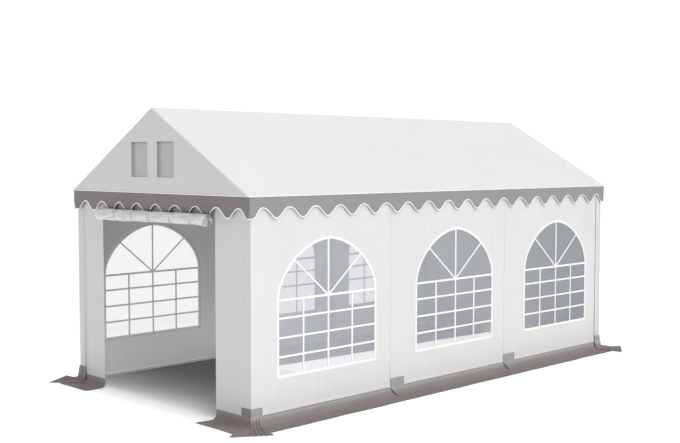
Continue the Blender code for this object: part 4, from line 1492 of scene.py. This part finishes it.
class MARQUEE_OT_door_roll(bpy.types.Operator):
    """Roll the front door up under the valance and strap it"""

    bl_idname = "marquee.door_roll"
    bl_label = "Rolled door"

    def execute(self, context):
        turns = context.scene.marquee_sizes.turns
        deep, tall = (ROLL_HIGH.y - ROLL_LOW.y) / 2, 0.0615
        centre_y, centre_z = -deep - 0.0012, ROLL_LOW.z + 0.0165 + tall
        half, inner, radius = ROLL_HALF, 0.20, 0.058
        last = turns * 2 * math.pi + 1.5 * math.pi
        angles = np.linspace(1.5 * math.pi, last, 26 * turns)
        growth = inner + (1.0 - inner) * (angles - angles[0]) / (last - angles[0])
        tail = np.array([0.012, 0.030, 0.050])
        crumple = ripples(101, 14, 0.10, 0.55, 0.5)
        fine = ripples(102, 10, 0.05, 0.16, 0.8)
        steps = np.diff(angles) * radius * (growth[1:] + growth[:-1]) / 2
        lengths = np.concatenate(([0.0], np.cumsum(steps)))
        total = lengths[-1] + tail[-1]
        path = np.concatenate((lengths, lengths[-1] + tail))
        index = np.arange(len(path))
        angle_of = np.concatenate((angles, np.full(3, last)))
        growth_of = np.concatenate((growth, np.full(3, 1.0)))
        rise_of = np.concatenate((np.zeros(len(angles)), tail))

        def section(x, place):
            nearest = np.round(np.interp(place, total - path[::-1], index[::-1])).astype(int)
            angle, size, rise = angle_of[nearest], growth_of[nearest], rise_of[nearest]
            squeeze = sum(np.exp(-((x - strap) / 0.030) ** 2) for strap in STRAPS)
            around = (angle % (2 * math.pi)) * radius
            wrinkle = crumple(around * np.cos(angle), x * 0.8) * 0.055 + fine(around, x * 0.35) * 0.045
            free = np.clip(np.sin(angle) * 0.5 + 0.9, 0, 1)
            slim = 1.0 - 0.070 * squeeze - 0.045 + wrinkle * (0.3 + 0.7 * (1 - squeeze)) * free
            return angle, size * np.minimum(slim, 1.0), rise

        def form(x, place):
            angle, size, rise = section(x, place)
            y = centre_y - deep * size * np.sin(angle)
            tapered = tall + 0.006 * smooth(x, 0.5, -0.9)
            z = centre_z + tapered * size * np.cos(angle) + rise
            y = np.where(rise > 0, -0.0026, np.minimum(y, -0.0018))
            spill = np.sign(x) * smooth(np.abs(x), half - 0.16, half) * (
                0.010 * np.sin(angle * 0.37 + np.sign(x)) + 0.030 * (1.0 - size))
            droop = 0.004 * smooth(np.abs(x), half - 0.2, half)
            return x + spill, y, z + (0.009 * smooth(x, -0.9, 1.0) - droop) * (rise == 0)

        across = spread([-half, half], 0.018)
        up = total - path[::-1]
        roll = woven("door_roll_cover", "front", across, up, form, thickness=0.0009, degrees=60)
        fit(roll, "roll", "wall_fabric", "door_roll")
        straps = [self.strap(number, x, centre_y, centre_z, deep, tall)
                  for number, x in enumerate(STRAPS, 1)]
        return {"FINISHED"}

    # A strap hangs from behind the valance, and goes round the roll
    def strap(self, number, x, centre_y, centre_z, deep, tall):
        path = []
        for step in range(33):
            angle = math.pi * (1.5 - 1.9 * step / 32)
            path.append((centre_y - (deep - 0.0035) * math.sin(angle) * 0.97,
                         centre_z + (tall - 0.0035) * math.cos(angle) * 0.97))
        path += [(-0.010, 1.985), (-0.006, 2.005), (-0.004, 2.030)]
        path = np.array([(min(y, -0.0016), z) for y, z in path])
        lengths = run_along(path)

        def form(across, up):
            y = np.interp(up, lengths, path[:, 0])
            z = np.interp(up, lengths, path[:, 1])
            return across + x, y, z

        width = np.linspace(-0.008, 0.008, 4)
        piece = woven(f"roll_strap_{number}", "front", width, lengths, form, thickness=0.0010, degrees=60)
        fit(piece, "strap", "wall_fabric")
        return piece


# The skirt's section from its edge on the ground up to the wall's foot: distance out and height at each
# length along it, for a cloth that lies lift above the solid's face
def skirt_section(lift=0.0):
    points = [(SKIRT_REACH, 0.0020), (SKIRT_REACH - 0.018, 0.0024), (0.15, 0.0030), (0.10, 0.0036)]
    for step in range(11):
        angle = math.pi * (1.5 - 0.5 * step / 10)
        points.append((SKIRT_BEND + SKIRT_BEND * math.cos(angle), 0.059 + SKIRT_BEND * math.sin(angle)))
    points += [(-0.0004, 0.075), (-0.0012, 0.090), (-0.0021, 0.1005), (-0.0024, WALL_STEP)]
    points = np.array(points)
    run = run_along(points)
    ahead = np.gradient(points, run, axis=0)
    beside = np.column_stack((-ahead[:, 1], ahead[:, 0]))
    beside = -beside / np.hypot(*beside.T)[:, None]
    return run, points[:, 0] + lift * beside[:, 0], points[:, 1] + lift * beside[:, 1]


class MARQUEE_OT_skirts(bpy.types.Operator):
    """Make the skirts that lie out on the ground, with their hems"""

    bl_idname = "marquee.skirts"
    bl_label = "Skirts"

    def execute(self, context):
        end = HALF_LENGTH - SIDE_TRIM
        self.skirt("right", "right", -end, end, 111, "right_wall_cover_2")
        self.skirt("left", "left", -end, end, 112, "left_wall_cover_2")
        self.skirt("rear", "rear", -HALF_WIDTH, HALF_WIDTH, 113, "rear_cover")
        self.skirt("front_left", "front", -HALF_WIDTH, -DOOR_HALF, 114, "front_cover_left", -DOOR_HALF)
        self.skirt("front_right", "front", DOOR_HALF, HALF_WIDTH, 115, "front_cover_right")
        return {"FINISHED"}

    # round_at is the end beside the doorway that has a rounded corner
    def skirt(self, label, side, left, right, seed, wall, round_at=None):
        run, outs, ups = skirt_section()
        waves = ripples(seed, 10, 0.18, 1.1, 0.5)
        edge_waves = ripples(seed + 50, 8, 0.25, 1.6, 0.2)
        across = spread([left, right], 0.025)
        along = spread([0.0, 0.004, 0.016, 0.018, 0.06, *run[3:]], 0.022)
        # How far each end is pushed along its side at the outer edge
        flares = {end: math.copysign(0.045, end) for end in (left, right) if abs(end) > HALF_WIDTH - 0.01}
        if label == "front_right":
            flares[left] = -0.034

        def form(x, place):
            out = np.interp(place, run, outs)
            up = np.interp(place, run, ups)
            lying = smooth(out, 0.045, 0.13)
            flare = sum(push * smooth(np.abs(x - end), 0.16, 0.0) for end, push in flares.items())
            inner = smooth(out, SKIRT_REACH, SKIRT_REACH - 0.05)
            up = up + np.maximum(0.0035 * waves(x, place) * lying * (0.5 + 0.5 * inner), -0.0008)
            up = up + 0.0014 * (1.0 - smooth(place, 0.014, 0.018))
            stretch = 1.0 + 0.012 * edge_waves(x, 0.0) * lying
            if round_at is not None:
                radius = 0.035
                over = np.maximum(radius - np.abs(x - round_at), 0.0)
                round_off = radius - np.sqrt(np.maximum(radius ** 2 - over ** 2, 0.0))
                stretch = stretch - round_off / SKIRT_REACH * lying
            return x + flare * smooth(out, 0.05, SKIRT_REACH), -(out * stretch), up

        piece = woven(f"skirt_cover_{label}", side, across, along, form, thickness=0.0013, degrees=45)
        fit(piece, "skirt_grey", "grey_fabric", f"skirt_{label}")


class MARQUEE_OT_patches(bpy.types.Operator):
    """Make the grey patches where the wall panels meet the skirt"""

    bl_idname = "marquee.patches"
    bl_label = "Bay patches"

    def execute(self, context):
        for side in ("left", "right"):
            for number, seam in enumerate(SEAMS, 1):
                wall = f"{side}_wall_cover_{bay_number(side, number - 1)}"
                self.patch(f"bay_patch_{side}_{number}", side, seam, wall)
        return {"FINISHED"}

    # The patch stands on the wall above the skirt, and its pointed tongue lies over the skirt's bend
    def patch(self, name, side, seam, wall):
        run, outs, ups = skirt_section(0.0026)
        top = run[-1] + 0.0865
        along = spread([0.0, 0.04, 0.52, 0.90, 0.93, 0.96, 1.0], 0.045)
        across = spread([0.0, 0.012, 0.071, 0.20, PATCH_WIDTH], 0.009)

        def bottom(x):
            return run[-1] - np.interp(x, [0.0, 0.012, 0.066, 0.071, 0.078, 0.20, PATCH_WIDTH],
                                       [0.020, 0.026, 0.098, PATCH_TONGUE, 0.100, 0.048, 0.040])

        def form(x, share):
            low = bottom(x)
            place = low + (top - low) * share
            free = (1 - smooth(place - low, 0.0, 0.050)) * (1 - smooth(x, 0.070, 0.12)) * smooth(x, 0.0, 0.02)
            above = smooth(place, run[-1] - 0.022, run[-1] - 0.006)
            wall_z = WALL_STEP + (place - run[-1])
            up = np.where(place > run[-1] - 0.010, wall_z, np.interp(place, run, ups))
            wall_y = wall_out(side, seam + x, np.maximum(up, WALL_FOOT)) + 0.0048
            out = np.interp(place, run, outs) * (1 - above) + wall_y * above
            lifted = 0.012 * free
            seam_line = np.exp(-((top - 0.013 - place) / 0.0016) ** 2) * 0.0014
            rim = np.minimum(np.minimum(x, PATCH_WIDTH - x), top - place)
            hem = 0.0012 * (1.0 - smooth(rim, 0.006, 0.009)) * above
            return seam + x, -(out + lifted + hem - seam_line), up + 0.5 * lifted

        piece = woven(name, side, across, along, form, thickness=0.0013, degrees=45)
        fit(piece, "grey", "grey_fabric")
        flat_area = float(np.trapz(top - bottom(across), across))
        float(top - run[-1] + PATCH_TONGUE)


class MARQUEE_OT_corner_flaps(bpy.types.Operator):
    """Make the pleated flaps that close the skirt at each corner, with their hems and eyelets"""

    bl_idname = "marquee.corner_flaps"
    bl_label = "Corner flaps"

    # Each corner's place across and along, its turn, the tips of its flap beside the two walls, measured from
    # the corner, its two half widths on the walls, how far it stands out at its foot, and its ripples' seed
    CORNERS = {
        "front_right": (1, -1, 0.0, (0.104, -0.349), (0.330, -0.005), (0.135, 0.135), 0.0, 121),
        "rear_right": (1, 1, math.pi / 2, (-0.044, -0.372), (0.320, -0.132), (0.112, 0.135), 0.012, 122),
        "rear_left": (-1, 1, math.pi, (0.090, -0.335), (0.335, -0.060), (0.135, 0.135), 0.0, 123),
        "front_left": (-1, -1, -math.pi / 2, (-0.020, -0.338), (0.328, -0.128), (0.135, 0.135), 0.010, 124),
    }

    def execute(self, context):
        sizes = context.scene.marquee_sizes
        for name, (across, along, *shape) in self.CORNERS.items():
            self.flap(sizes, name, Vector((across * HALF_WIDTH, along * HALF_LENGTH, 0.0)), *shape)
        return {"FINISHED"}

    def flap(self, sizes, name, corner, turn, first, second, wall_halves, lean, seed):
        clear, bend = 0.0052, 0.0515
        rows = [(clear, FLAP_TOP, 0.0), (clear + 0.2 * lean, 0.150, 0.0), (clear + 0.5 * lean, 0.110, 0.001)]
        for step in range(9):
            angle = math.pi * (1.0 + 0.5 * step / 8)
            out = 0.055 + bend * math.cos(angle) + 0.002
            rows.append((out + lean * (1 - step / 8), 0.0575 + bend * math.sin(angle) + 0.001, 0.67 * out))
        outs, ups, drawn_in = (np.array(part) for part in zip(*rows))
        run = run_along(np.column_stack((outs, ups)))
        reach, hem_width, pleat_count = 0.235, 0.013, 6.2
        total = run[-1] + reach
        ripple = ripples(seed, 6, 0.25, 0.9, 0.6)

        def form(share, place):
            down = total - place
            out = np.interp(down, run, outs)
            up = np.interp(down, run, ups)
            wide = np.where(share < 0, *wall_halves) - np.interp(down, run, drawn_in)
            beside = np.abs(share)
            x = out + (-wide - out) * beside
            y = -out
            x, y = np.where(share < 0, x, -y), np.where(share < 0, y, -x)
            far = np.clip((down - run[-1]) / reach, 0.0, 1.0)
            share_line = (share + 1) / 2
            tip_x, tip_y = (start + (end - start) * share_line for start, end in zip(first, second))
            x = x + (tip_x - x) * far
            y = y + (tip_y - y) * far
            up = up * (1 - far) + 0.0045 * far
            deep = smooth(down, 0.015, run[-1] * 0.75) * (1 - 0.55 * smooth(down, run[-1], total))
            strong = 0.50 + 0.50 * smooth(share, -0.2, 0.35)
            phase = 2 * math.pi * pleat_count * share_line * (1 + 0.12 * share)
            fan = np.sin(phase + 0.9 + 0.5 * ripple(share, down))
            push = sizes.pleats * deep * strong * fan * (1 - smooth(np.abs(share), 0.85, 1.0))
            ground = smooth(down, run[-1] - 0.05, run[-1] + 0.01)
            x = x + push * (1 - ground) * 0.7071
            y = y - push * (1 - ground) * 0.7071
            up = up + np.maximum(push, -0.002) * ground * (1.0 - 0.4 * far)
            raised = smooth(np.abs(share), 0.8, 1.0) * smooth(far, 0.7, 1.0) * 0.004
            hem = 0.0012 * (1 - smooth(np.minimum(place, down), 0.010, hem_width))
            return x, y, np.maximum(up + raised + hem + 0.0014, 0.0022)

        across = np.linspace(-1.0, 1.0, 121)
        up = spread([0.0, 0.006, 0.010, hem_width, reach, total - hem_width, total - 0.010, total], 0.009)
        net_across, net_up = np.meshgrid(across, up)
        shape = net_across.shape
        move = Matrix.Translation(corner) @ Matrix.Rotation(turn, 4, "Z")
        spin = np.array(move.to_3x3())
        points = np.column_stack([part.ravel() for part in form(net_across, net_up)])
        points = points @ spin.T + np.array(move.translation)
        flat = np.column_stack(((net_across * 0.18).ravel(), net_up.ravel()))
        piece = make_piece(f"flap_cover_{name}", points, net_faces(*shape), flat)
        thicken(piece, thickness=0.0014, degrees=55)
        fit(piece, "grey", "grey_fabric", f"corner_flap_{name}")
        net = points.reshape(*shape, 3)
        rim = roped(f"flap_hem_{name}", net[0] + np.array((0, 0, 0.0004)), (0.0, 0.0, 1.0), self.inwards(net),
                    (0.0028, 0.0036))
        fit(rim, "grey", "grey_fabric")
        facing = move.to_3x3() @ Vector((1, -1, 0.9))
        eyelet = self.eyelet(name, move @ Vector((0.020, -0.020, 0.0255)), facing)
        end, side = name.split("_")
        f"front_cover_{side}" if end == "front" else "rear_cover"

    # The level direction from each point of the outer edge into the flap
    def inwards(self, net):
        ahead = net[1] - net[0]
        ahead[:, 2] = 0.0
        return ahead / np.linalg.norm(ahead, axis=1)[:, None]

    def eyelet(self, name, place, facing):
        bpy.ops.object.select_all(action="DESELECT")
        turn = facing.to_track_quat("Z", "Y")
        bpy.ops.mesh.primitive_torus_add(major_radius=0.0085, minor_radius=0.0026, major_segments=28,
                                         minor_segments=10)
        ring = bpy.context.object
        ring.name = f"flap_eyelet_{name}"
        ring.data.name = ring.name
        edited((bpy.ops.transform.resize, {"value": (1.0, 1.0, 0.55)}))
        ring.data.transform(Matrix.Translation(place) @ turn.to_matrix().to_4x4())
        smoothed(ring, 60)
        fit(ring, "eyelet", "grey_fabric")
        return ring


class MARQUEE_PT_panel(bpy.types.Panel):
    """Lists the pieces of the marquee in the order they are made"""

    bl_idname = "MARQUEE_PT_panel"
    bl_label = "Marquee tent"
    bl_space_type = "VIEW_3D"
    bl_region_type = "UI"
    bl_category = "Marquee"

    def draw(self, context):
        layout = self.layout
        for name, _ in GROUPS:
            group = getattr(context.scene, name)
            box = layout.box()
            box.label(text=name.removeprefix("marquee_").capitalize())
            for setting in group.__annotations__:
                box.prop(group, setting)
        for operator in OPERATORS:
            layout.operator(operator.bl_idname)


OPERATORS = (
    MARQUEE_OT_stage,
    MARQUEE_OT_frame,
    MARQUEE_OT_roof,
    MARQUEE_OT_gables,
    MARQUEE_OT_valances,
    MARQUEE_OT_side_walls,
    MARQUEE_OT_windows,
    MARQUEE_OT_end_walls,
    MARQUEE_OT_door_roll,
    MARQUEE_OT_skirts,
    MARQUEE_OT_patches,
    MARQUEE_OT_corner_flaps,
)
CLASSES = (MarqueeSizes, MarqueeColours, MarqueeStage, *OPERATORS, MARQUEE_PT_panel)
GROUPS = (
    ("marquee_sizes", MarqueeSizes),
    ("marquee_colours", MarqueeColours),
    ("marquee_stage", MarqueeStage),
)


def register():
    for item in CLASSES:
        bpy.utils.register_class(item)
    for name, group in GROUPS:
        setattr(bpy.types.Scene, name, PointerProperty(type=group))


def unregister():
    for name, _ in GROUPS:
        delattr(bpy.types.Scene, name)
    for item in reversed(CLASSES):
        bpy.utils.unregister_class(item)


def main():
    register()
    bpy.ops.marquee.stage()
    bpy.ops.marquee.frame()
    bpy.ops.marquee.roof()
    bpy.ops.marquee.gables()
    bpy.ops.marquee.valances()
    bpy.ops.marquee.side_walls()
    bpy.ops.marquee.windows()
    bpy.ops.marquee.end_walls()
    bpy.ops.marquee.door_roll()
    bpy.ops.marquee.skirts()
    bpy.ops.marquee.patches()
    bpy.ops.marquee.corner_flaps()


if __name__ == "__main__":
    main()
